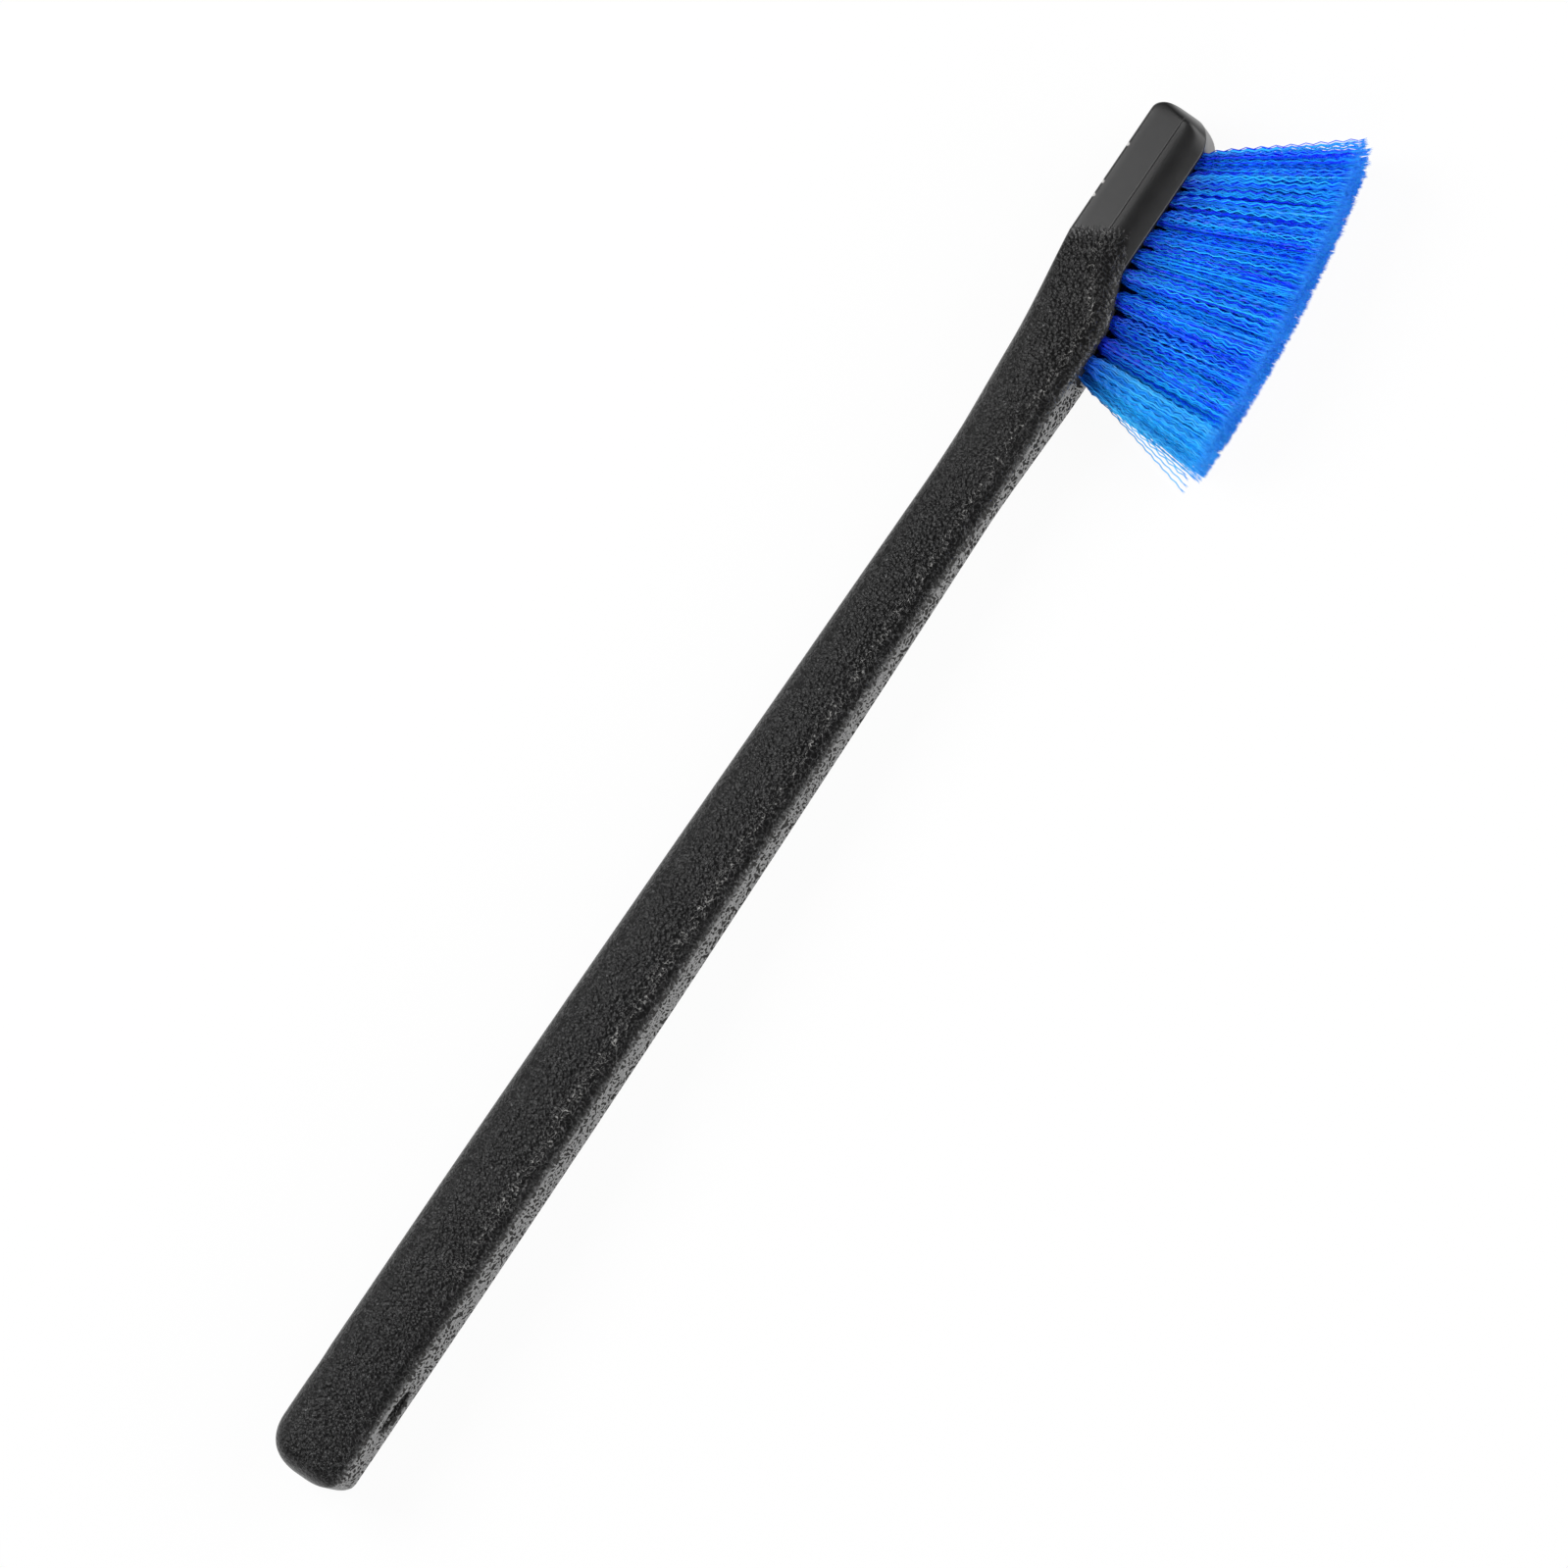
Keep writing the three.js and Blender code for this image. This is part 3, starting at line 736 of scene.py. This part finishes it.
def model_split(radius, side, angle):
    """One fine end of a split tip: a small disc drawn out in two leaning steps to a point."""
    reach = Vector((math.cos(angle), math.sin(angle))) * SPLIT_REACH
    tip = disc(STRAND_SIDES, radius, (side, 0, 1 - SPLIT_FROM_TIP))
    bpy.ops.object.transform_apply(location=True, rotation=True, scale=True)
    bpy.ops.object.mode_set(mode="EDIT")
    for part in SPLIT_STEPS:
        move = (part * reach.x - side / 2, part * reach.y, SPLIT_FROM_TIP / 2)
        bpy.ops.mesh.extrude_region_move(TRANSFORM_OT_translate={"value": move})
    bpy.ops.mesh.merge(type="CENTER")
    bpy.ops.object.mode_set(mode="OBJECT")
    return tip


def mesh_arrays(piece):
    """A mesh's points as an array and its faces as lists of point numbers."""
    points = np.array([vertex.co[:] for vertex in piece.data.vertices])
    faces = [list(face.vertices) for face in piece.data.polygons]
    return points, faces


def axes_round(way):
    """Two directions square to a way, so that the three turn right-handed."""
    across = way.cross(Vector((1.0, 0.0, 0.0))).normalized()
    along = way.cross(across).normalized()
    return np.array(across), np.array(along), np.array(way)


def bent_copy(points, base, axes, aim, length, depth, bend, turn, swell):
    """A copy of the straight filament, set in its hole, swelling out of it and bent to its tip."""
    across, along, _ = axes
    way = aim / np.linalg.norm(aim)
    reach = points[:, 2] * (length + depth) - depth
    out = np.maximum(reach, 0)
    path = base + np.outer(reach, way) + np.outer((out / length) ** 2, bend)
    path += np.outer(1 - np.exp(-out / TUFT_SWELL_LENGTH), swell)
    path = path @ LYING_TURN.T + np.array(BUTT_PLACE)
    path[:, 2] = np.maximum(path[:, 2], FLOOR_CLEARANCE)
    swung_x = points[:, 0] * math.cos(turn) - points[:, 1] * math.sin(turn)
    swung_y = points[:, 0] * math.sin(turn) + points[:, 1] * math.cos(turn)
    swing = np.outer(swung_x, across) + np.outer(swung_y, along)
    return path + swing @ LYING_TURN.T


def trim_at(bristles, handle, x):
    """How far from the axis the tips are cut, at a place along the brush."""
    drop = share(x, last_tuft(handle), end_place(handle) + bristles.trim_overhang) ** 2
    return handle.head_front + bristles.trim_length - bristles.trim_drop * drop


def strand_length(bristles, handle, root, way):
    """How far a filament reaches before it meets the trim."""
    length = 0.0
    for _ in range(SETTLING_TURNS):
        length = (trim_at(bristles, handle, root[0] + way[0] * length) + root[1]) / -way[1]
    return length


def model_row(bristles, handle, strand, row):
    """All the filaments of one row's tufts in one mesh, each a bent copy of the one filament."""
    dice = np.random.default_rng(SEED + row)
    shape, faces = mesh_arrays(strand)
    points = []
    tones_and_painted_light = []
    sunk = []
    radius = handle.tuft_hole / 2 * STRAND_ROOM_IN_HOLE
    last = last_tuft(handle)
    for place_row, _, root, way in tuft_places(handle):
        if place_row != row:
            continue
        axes = axes_round(way)
        tuft_turn = dice.uniform(0, 2 * math.pi)
        tuft_depth = dice.uniform(*STRAND_DEPTH)
        for number in range(bristles.strands):
            out = radius * math.sqrt((number + 0.5) / bristles.strands)
            angle = number * GOLDEN_ANGLE + dice.normal(0, STRAND_SHIFT)
            across = out * math.cos(angle) * axes[0]
            along = out * math.sin(angle) * axes[1]
            offset = across + along
            base = np.array(root) + offset
            aim = axes[2] + (across * bristles.spread_across + along * bristles.spread_along) / MM
            swell = TUFT_SWELL * offset
            length = strand_length(bristles, handle, base + swell, aim / np.linalg.norm(aim))
            length += dice.uniform(*STRAND_UNEVEN)
            bend = dice.normal(0, STRAND_BEND, 3) * (1, 0, 1)
            depth = tuft_depth + dice.normal(0, STRAND_OUT_OF_STEP)
            turn = tuft_turn + dice.normal(0, STRAND_TWIST)
            points.append(bent_copy(shape, base, axes, aim, length, depth, bend, turn, swell))
            tone = dice.beta(TONE_SPREAD, TONE_SPREAD)
            # Painted light on the rear tufts, added to the filament's own tone.
            tones_and_painted_light.append(tone + REAR_PAINTED_LIGHT * share(root.x, last + PAINTED_LIGHT_LENGTH, last))
            # Painted shade along the filament near its root.
            sunk.append(painted_shade_along(handle, root, shape[:, 2] * (length + depth) - depth))
    return strands_mesh(f"bristles_row_{row + 1}", points, faces, tones_and_painted_light, sunk, shape[:, 2])


def painted_shade_along(handle, root, out):
    """How much painted shade the points of a filament get near its root, deep between the tufts and in
    the neck's shadow: most by the neck, but less for the last tufts, which get painted light.
    """
    last = last_tuft(handle)
    by_neck = share(root.x, last + NECK_SHADE_LENGTH, last + PAINTED_LIGHT_LENGTH)
    by_neck -= REAR_PAINTED_LIGHT * share(root.x, last + PAINTED_LIGHT_LENGTH, last)
    fade = between(ROOT_SHADE, NECK_SHADE, by_neck)
    return between(PAINTED_ROOT_SHADE, 1.0, by_neck) * np.clip(1 - (out - ROOT_DARK) / fade, 0, 1)


def strands_mesh(name, points, faces, tones_and_painted_light, sunk, reach):
    """A piece made of many copies of one filament, with its tone and painted light, its painted shade
    and its reach kept on its points.
    """
    count = len(reach)
    all_faces = []
    for copy in range(len(points)):
        start = copy * count
        all_faces += [[start + corner for corner in face] for face in faces]
    mesh = bpy.data.meshes.new(name)
    mesh.from_pydata(np.concatenate(points).tolist(), [], all_faces)
    keep(mesh, "tone", np.repeat(tones_and_painted_light, count))
    keep(mesh, "sunk", np.concatenate(sunk))
    keep(mesh, "reach", np.tile(reach, len(points)))
    mesh.update()
    piece = bpy.data.objects.new(name, mesh)
    bpy.context.scene.collection.objects.link(piece)
    return piece


def model_strays(bristles, handle, strand):
    """A few loose filaments that lean out behind the rear tufts."""
    dice = np.random.default_rng(SEED + ROWS)
    shape, faces = mesh_arrays(strand)
    rear = [place for place in tuft_places(handle) if place[1] == TUFTS_PER_ROW - 1]
    points = []
    tones_and_painted_light = []
    sunk = []
    for number in range(bristles.strays):
        _, _, root, way = rear[number % len(rear)]
        lean = between(REAR_STRAY_LEAN, FRONT_STRAY_LEAN, number / bristles.strays)
        aim = np.array((math.tan(lean), -1.0, way.z / -way.y + dice.normal(0, STRAY_SPLAY)))
        axes = axes_round(Vector(aim).normalized())
        base = np.array((last_tuft(handle) - STRAY_STEP_BACK * handle.tuft_hole, root.y, root.z))
        full = strand_length(bristles, handle, root, aim / np.linalg.norm(aim))
        length = dice.uniform(*STRAY_LENGTH) * full
        bend = dice.normal(0, STRAY_BEND, 3) * (1, 0, 1)
        turn = dice.uniform(0, 2 * math.pi)
        depth = STRAND_DEPTH[0]
        points.append(bent_copy(shape, base, axes, aim, length, depth, bend, turn, np.zeros(3)))
        tones_and_painted_light.append(STRAY_TONE)
        # Painted shade near the stray's root.
        sunk.append(painted_shade_along(handle, root, shape[:, 2] * length))
    return strands_mesh("stray_filaments", points, faces, tones_and_painted_light, sunk, shape[:, 2])


def empty_material(name):
    """A material with no node but its output."""
    material = bpy.data.materials.new(name)
    material.use_nodes = True
    tree = material.node_tree
    tree.nodes.clear()
    return material, tree, tree.nodes.new("ShaderNodeOutputMaterial")


def new_material(name):
    """A material with its Principled BSDF."""
    material, tree, output = empty_material(name)
    shader = tree.nodes.new("ShaderNodeBsdfPrincipled")
    feed(tree, output.inputs["Surface"], shader.outputs["BSDF"])
    return material, tree, shader


def feed(tree, slot, value):
    """Gives a node's slot its value: another node's socket, a colour or a number."""
    if isinstance(value, bpy.types.NodeSocket):
        tree.links.new(value, slot)
    elif slot.type == "RGBA":
        slot.default_value = (*value, 1.0)
    else:
        slot.default_value = value


def add(tree, kind, inputs=None, **settings):
    """A node with its settings and what feeds its inputs."""
    node = tree.nodes.new(kind)
    for name, value in settings.items():
        setattr(node, name, value)
    for slot, value in (inputs or {}).items():
        feed(tree, node.inputs[slot], value)
    return node


def math_node(tree, operation, first, second=0.0):
    """What a Math node makes of two values."""
    return add(tree, "ShaderNodeMath", {0: first, 1: second}, operation=operation).outputs[0]


def ramp_node(tree, value, low, high, to_low=0.0, to_high=1.0):
    """A soft step: to_low up to low, to_high from high on."""
    inputs = {"Value": value, "From Min": low, "From Max": high, "To Min": to_low, "To Max": to_high}
    return add(tree, "ShaderNodeMapRange", inputs, interpolation_type="SMOOTHSTEP").outputs["Result"]


def mix_values(tree, part, first, second):
    """The value that lies that part of the way from the first to the second."""
    inputs = {"Factor": part, 2: first, 3: second}
    return add(tree, "ShaderNodeMix", inputs, data_type="FLOAT").outputs[0]


def mix_colours(tree, part, first, second, blend="MIX"):
    """The colour that lies that part of the way from the first to the second, or to their blend."""
    inputs = {"Factor": part, 6: first, 7: second}
    return add(tree, "ShaderNodeMix", inputs, data_type="RGBA", blend_type=blend).outputs[2]


def mottle_group():
    """Shared effect: cloudy variation of a surface, with fine and coarse spots mixed."""
    group = bpy.data.node_groups.new("Mottle", "ShaderNodeTree")
    group.interface.new_socket("Vector", in_out="INPUT", socket_type="NodeSocketVector")
    for name in ("Scale", "Low", "High"):
        group.interface.new_socket(name, in_out="INPUT", socket_type="NodeSocketFloat")
    group.interface.new_socket("Value", in_out="OUTPUT", socket_type="NodeSocketFloat")
    given = group.nodes.new("NodeGroupInput").outputs
    clouds = {"Detail": CLOUD_DETAIL, "Roughness": CLOUD_ROUGHNESS}
    clouds |= {"Vector": given["Vector"], "Scale": given["Scale"]}
    noise = add(group, "ShaderNodeTexNoise", clouds, noise_dimensions="3D")
    levels = {"From Min": CLOUD_LEVELS[0], "From Max": CLOUD_LEVELS[1]}
    levels |= {"Value": noise.outputs["Fac"], "To Min": given["Low"], "To Max": given["High"]}
    spread = add(group, "ShaderNodeMapRange", levels)
    end = group.nodes.new("NodeGroupOutput")
    feed(group, end.inputs["Value"], spread.outputs["Result"])
    return group


def mottle(tree, vector, scale, low, high):
    """Places the shared cloudy variation in a material with its own values."""
    group = bpy.data.node_groups.get("Mottle") or mottle_group()
    inputs = {"Vector": vector, "Scale": scale, "Low": low, "High": high}
    return add(tree, "ShaderNodeGroup", inputs, node_tree=group).outputs["Value"]


def object_place(tree):
    """The place on the object."""
    return add(tree, "ShaderNodeTexCoord").outputs["Object"]


def mark(tree, name):
    """A value that is kept on the points of the mesh."""
    return add(tree, "ShaderNodeAttribute", attribute_name=name).outputs["Fac"]


def stretched(tree, place, scale):
    """The place on the object, drawn out along the axes where the scale is below 1."""
    return add(tree, "ShaderNodeMapping", {"Vector": place, "Scale": scale}).outputs["Vector"]


def wrinkles(tree, place, scale, width):
    """Crooked crests, 1 on a crest and 0 between: where a slow noise passes its middle value."""
    inputs = {"Vector": place, "Scale": scale, "Detail": 1.0}
    noise = add(tree, "ShaderNodeTexNoise", inputs, noise_dimensions="3D")
    off = math_node(tree, "ABSOLUTE", math_node(tree, "SUBTRACT", noise.outputs["Fac"], 0.5))
    return ramp_node(tree, off, 0.0, width, 1.0, 0.0)


def grain_height(tree, place):
    """Height of the moulded grain: small pebbles with wrinkles between them."""
    spot = stretched(tree, place, PEBBLE_STRETCH)
    inputs = {"Vector": spot, "Scale": PEBBLE_SCALE, "Smoothness": PEBBLE_SMOOTHNESS}
    pebble = add(tree, "ShaderNodeTexVoronoi", inputs, feature="SMOOTH_F1")
    sunk = math_node(tree, "MULTIPLY", pebble.outputs["Distance"], -PEBBLE_DEPTH)
    crest = wrinkles(tree, place, WRINKLE_SCALE, WRINKLE_WIDTH)
    return math_node(tree, "ADD", sunk, math_node(tree, "MULTIPLY", crest, WRINKLE_HEIGHT))


def nick_marks(tree, place, sizes):
    """Small knocks on the edge between the head's side and its back."""
    marks = 0.0
    half = sizes.head_width / 2 - HEAD_BACK_DRAFT
    for x in NICK_PLACES:
        spot = lying() @ Vector((x, sizes.head_back - NICK_SIZE / 2, half - NICK_SIZE / 2))
        away = add(tree, "ShaderNodeVectorMath", {0: place, 1: spot}, operation="DISTANCE")
        knock = ramp_node(tree, away.outputs["Value"], NICK_SIZE / 2, NICK_SIZE, 1.0, 0.0)
        marks = math_node(tree, "ADD", knock, marks)
    return marks


def plastic_material(colours, sizes):
    """Black moulded plastic: pebble grain on grip and neck with painted shade in its hollows and painted
    highlight on its tops, painted highlight along the parting line and painted sheen on the front face,
    smooth on the head, with a few nicks.
    """
    material, tree, shader = new_material("black_plastic_dressed")
    place = object_place(tree)
    grained = ramp_node(tree, mark(tree, "grain"), *GRAIN_EDGE)
    front = mark(tree, "front")
    rise = grain_height(tree, place)
    folds = wrinkles(tree, stretched(tree, place, FOLD_STRETCH), FOLD_SCALE, FOLD_WIDTH)
    height = math_node(tree, "MULTIPLY", rise, grained)
    relief = {"Strength": BUMP_STRENGTH, "Distance": BUMP_DEPTH, "Height": height}
    feed(tree, shader.inputs["Normal"], add(tree, "ShaderNodeBump", relief).outputs["Normal"])
    smooth_finish = mottle(tree, place, *HEAD_ROUGHNESS)
    grain_finish = mottle(tree, place, *GRAIN_ROUGHNESS)
    feed(tree, shader.inputs["Roughness"], mix_values(tree, grained, smooth_finish, grain_finish))
    side_gloss = ramp_node(tree, rise, *GRAIN_LEVELS, *GRAIN_GLOSS)
    front_gloss = ramp_node(tree, folds, *FOLD_LEVELS, *FOLD_GLOSS)
    gloss = mix_values(tree, grained, HEAD_GLOSS, mix_values(tree, front, side_gloss, front_gloss))
    feed(tree, shader.inputs["Specular IOR Level"], gloss)
    # Painted shade in the hollows of the grain and painted highlight on its tops, with a cloudy dust.
    painted_grain_light = mix_values(tree, grained, 1.0, ramp_node(tree, rise, *GRAIN_LEVELS, *GRAIN_SHADE_TO_HIGHLIGHT))
    dust_and_painted_light = math_node(tree, "MULTIPLY", painted_grain_light, mottle(tree, place, *PLASTIC_DUST))
    tone = mix_colours(tree, 1.0, colours.plastic, dust_and_painted_light, "MULTIPLY")
    # Painted highlight on the grain tops along the parting line and painted sheen on the front face
    # between its folds.
    ridge_highlight = math_node(tree, "MULTIPLY", ramp_node(tree, rise, *HIGHLIGHT_LEVELS), mark(tree, "painted_highlight"))
    front_sheen = ramp_node(tree, folds, *FOLD_LEVELS, FRONT_PAINTED_SHEEN, 0.0)
    painted_highlight_mask = math_node(tree, "MAXIMUM", ridge_highlight, math_node(tree, "MULTIPLY", front_sheen, front))
    highlighted = mix_colours(tree, math_node(tree, "MULTIPLY", painted_highlight_mask, grained), tone, colours.painted_highlight)
    base = mix_colours(tree, nick_marks(tree, place, sizes), highlighted, colours.scuffed)
    feed(tree, shader.inputs["Base Color"], base)
    return material


def filament_material(colours):
    """Blue extruded filament: each has its own tone, with painted shade at the root and in the neck's
    shadow, painted light on the rear tufts, and paler where it is split.
    """
    material, tree, shader = new_material("blue_filament_dressed")
    place = object_place(tree)
    varied = math_node(tree, "ADD", mark(tree, "tone"), mottle(tree, place, *FILAMENT_CLOUDS))
    strand = mix_colours(tree, varied, colours.blue_deep, colours.blue_light)
    # Painted light: a tone above the filament's own range turns to the pale blue of the rear tufts.
    strand = mix_colours(tree, ramp_node(tree, varied, *PAINTED_LIGHT_TONES), strand, colours.blue_painted_light)
    split = ramp_node(tree, mark(tree, "reach"), 1 - TIP_LENGTH, 1.0, 0.0, TIP_PALENESS)
    tipped = mix_colours(tree, split, strand, colours.blue_tip)
    # Painted shade: darker towards the roots, deep between the tufts and in the neck's shadow.
    base = mix_colours(tree, mark(tree, "sunk"), tipped, colours.blue_painted_shade)
    feed(tree, shader.inputs["Base Color"], base)
    feed(tree, shader.inputs["Roughness"], mottle(tree, place, *FILAMENT_ROUGHNESS))
    feed(tree, shader.inputs["Specular IOR Level"], FILAMENT_GLOSS)
    return material


def wire_material(colours):
    """Anchor wire: drawn metal with fine lines and a dull film."""
    material, tree, shader = new_material("anchor_wire_dressed")
    place = object_place(tree)
    lines = mottle(tree, stretched(tree, place, WIRE_STRETCH), *WIRE_ROUGHNESS)
    feed(tree, shader.inputs["Roughness"], lines)
    dull = [WIRE_DULLED * part for part in colours.wire]
    base = mix_colours(tree, mottle(tree, place, *WIRE_FILM), colours.wire, dull)
    feed(tree, shader.inputs["Base Color"], base)
    feed(tree, shader.inputs["Metallic"], 1.0)
    return material


def floor_material(colours):
    """White studio floor: even white to the eye and in reflections, with a faint shadow kept."""
    material, tree, output = empty_material("studio_floor")
    matt = add(tree, "ShaderNodeBsdfDiffuse", {"Color": colours.floor})
    glow = add(tree, "ShaderNodeEmission", {"Strength": 1.0})
    rays = add(tree, "ShaderNodeLightPath").outputs
    seen = math_node(tree, "MAXIMUM", rays["Is Camera Ray"], rays["Is Glossy Ray"])
    seen = math_node(tree, "MAXIMUM", seen, rays["Is Transmission Ray"])
    part = math_node(tree, "MULTIPLY", seen, FLOOR_GLOW)
    inputs = {"Fac": part, 1: matt.outputs["BSDF"], 2: glow.outputs["Emission"]}
    feed(tree, output.inputs["Surface"], add(tree, "ShaderNodeMixShader", inputs).outputs["Shader"])
    return material


def dress(piece, material):
    """Gives a new piece its one material and the body that it rides on."""
    piece.data.materials.clear()
    piece.data.materials.append(material)
    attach(piece, "root")


def finish_of(name, make, *values):
    """The finish of that name, made the first time that it is asked for."""
    return bpy.data.materials.get(name) or make(*values)


def lay_floor(colours):
    """The white floor, a hair below the brush."""
    bpy.ops.object.select_all(action="DESELECT")
    bpy.ops.mesh.primitive_plane_add(size=FLOOR_SIZE, location=(0, 0, -FLOOR_DROP))
    floor = bpy.context.object
    floor.name = "studio_floor"
    bpy.ops.object.transform_apply(location=True, rotation=True, scale=True)
    floor.data.materials.append(floor_material(colours))


def add_area_light(name, place, size, power):
    """A square soft light that faces the brush."""
    lamp = bpy.data.lights.new(name, "AREA")
    lamp.size = size
    lamp.energy = power
    light = bpy.data.objects.new(name, lamp)
    light.location = place
    light.rotation_euler = (-Vector(place)).to_track_quat("-Z", "Y").to_euler()
    bpy.context.scene.collection.objects.link(light)


def light_air(scene, ambient):
    """The surroundings: white round the horizon and dim overhead."""
    world = bpy.data.worlds.new("studio_air")
    world.use_nodes = True
    tree = world.node_tree
    air = tree.nodes["Background"]
    generated = add(tree, "ShaderNodeTexCoord").outputs["Generated"]
    way = add(tree, "ShaderNodeSeparateXYZ", {"Vector": generated})
    feed(tree, air.inputs["Strength"], ramp_node(tree, way.outputs["Z"], *HORIZON, 1.0, ambient))
    feed(tree, air.inputs["Color"], (1.0, 1.0, 1.0))
    scene.world = world


def set_camera(scene, studio):
    """A long lens that looks down on the brush, with the bristle side turned a little to it."""
    camera = bpy.data.cameras.new("view_from_above")
    camera.sensor_width = SENSOR_WIDTH
    camera.lens = studio.lens
    camera.clip_end = VIEW_END
    eye = bpy.data.objects.new("view_from_above", camera)
    away = studio.view_width * studio.lens / camera.sensor_width
    turn = Matrix.Rotation(studio.view_tilt, 4, "X") @ Matrix.Rotation(studio.view_turn, 4, "Z")
    centre = Matrix.Translation(Vector(studio.view_centre))
    eye.matrix_world = lying() @ centre @ turn @ Matrix.Translation((0, 0, away))
    scene.collection.objects.link(eye)
    scene.camera = eye


class BRUSH_OT_handle(bpy.types.Operator):
    """Model the moulded handle with its hang hole and tuft holes"""

    bl_idname = "brush.handle"
    bl_label = "Moulded handle"

    def execute(self, context):
        scene = context.scene
        handle = model_handle(scene.brush_handle)
        plastic = finish_of(
            "black_plastic_dressed", plastic_material, scene.brush_colours, scene.brush_handle
        )
        dress(handle, plastic)
        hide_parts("handle")
        return {"FINISHED"}


class BRUSH_OT_bristles(bpy.types.Operator):
    """Model the rows of crimped filaments and the stray ones"""

    bl_idname = "brush.bristles"
    bl_label = "Bristles"

    def execute(self, context):
        scene = context.scene
        blue = finish_of("blue_filament_dressed", filament_material, scene.brush_colours)
        strand = model_strand(scene.brush_bristles)
        for row in range(ROWS):
            piece = model_row(scene.brush_bristles, scene.brush_handle, strand, row)
            dress(piece, blue)
            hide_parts(f"bristle_row_{row + 1}")
        strays = model_strays(scene.brush_bristles, scene.brush_handle, strand)
        dress(strays, blue)
        bpy.data.objects.remove(strand, do_unlink=True)
        return {"FINISHED"}


class BRUSH_OT_anchors(bpy.types.Operator):
    """Give the tufts' metal anchors their finish"""

    bl_idname = "brush.anchors"
    bl_label = "Anchors"

    def execute(self, context):
        wire = finish_of("anchor_wire_dressed", wire_material, context.scene.brush_colours)
        for name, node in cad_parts.items():
            if name.startswith("anchor"):
                for slot in node.material_slots:
                    slot.material = wire
        return {"FINISHED"}


class BRUSH_OT_studio(bpy.types.Operator):
    """Set up the white floor, the soft lights and the camera"""

    bl_idname = "brush.studio"
    bl_label = "Studio"

    def execute(self, context):
        scene = context.scene
        studio = scene.brush_studio
        scene.view_settings.view_transform = "Standard"
        lay_floor(scene.brush_colours)
        add_area_light("key_light", *KEY_LIGHT, studio.key_power)
        add_area_light("fill_light", *FILL_LIGHT, studio.fill_power)
        add_area_light("butt_light", *BUTT_LIGHT, studio.butt_power)
        add_area_light("head_light", *HEAD_LIGHT, studio.head_power)
        light_air(scene, studio.ambient)
        set_camera(scene, studio)
        return {"FINISHED"}


class BRUSH_PT_sidebar(bpy.types.Panel):
    """Lists the sizes, colours and steps of the brush"""

    bl_idname = "BRUSH_PT_sidebar"
    bl_label = "Bird bath brush"
    bl_space_type = "VIEW_3D"
    bl_region_type = "UI"
    bl_category = "Brush"

    def draw(self, context):
        layout = self.layout
        for name in SETTINGS:
            settings = getattr(context.scene, name)
            box = layout.box()
            for key in settings.bl_rna.properties.keys():
                if key not in {"rna_type", "name"}:
                    box.prop(settings, key)
        for operator in OPERATORS:
            layout.operator(operator.bl_idname)


SETTINGS = {
    "brush_handle": HandleSizes,
    "brush_bristles": BristleSizes,
    "brush_colours": BrushColours,
    "brush_studio": StudioSettings,
}
OPERATORS = (BRUSH_OT_handle, BRUSH_OT_bristles, BRUSH_OT_anchors, BRUSH_OT_studio)


def register():
    for name, settings in SETTINGS.items():
        bpy.utils.register_class(settings)
        setattr(bpy.types.Scene, name, bpy.props.PointerProperty(type=settings))
    for operator in OPERATORS:
        bpy.utils.register_class(operator)
    bpy.utils.register_class(BRUSH_PT_sidebar)


def unregister():
    bpy.utils.unregister_class(BRUSH_PT_sidebar)
    for operator in reversed(OPERATORS):
        bpy.utils.unregister_class(operator)
    for name, settings in SETTINGS.items():
        delattr(bpy.types.Scene, name)
        bpy.utils.unregister_class(settings)


def main():
    """Registers the add-on and models everything in order."""
    register()
    bpy.ops.brush.studio()
    bpy.ops.brush.handle()
    bpy.ops.brush.bristles()
    bpy.ops.brush.anchors()


if __name__ == "__main__":
    main()
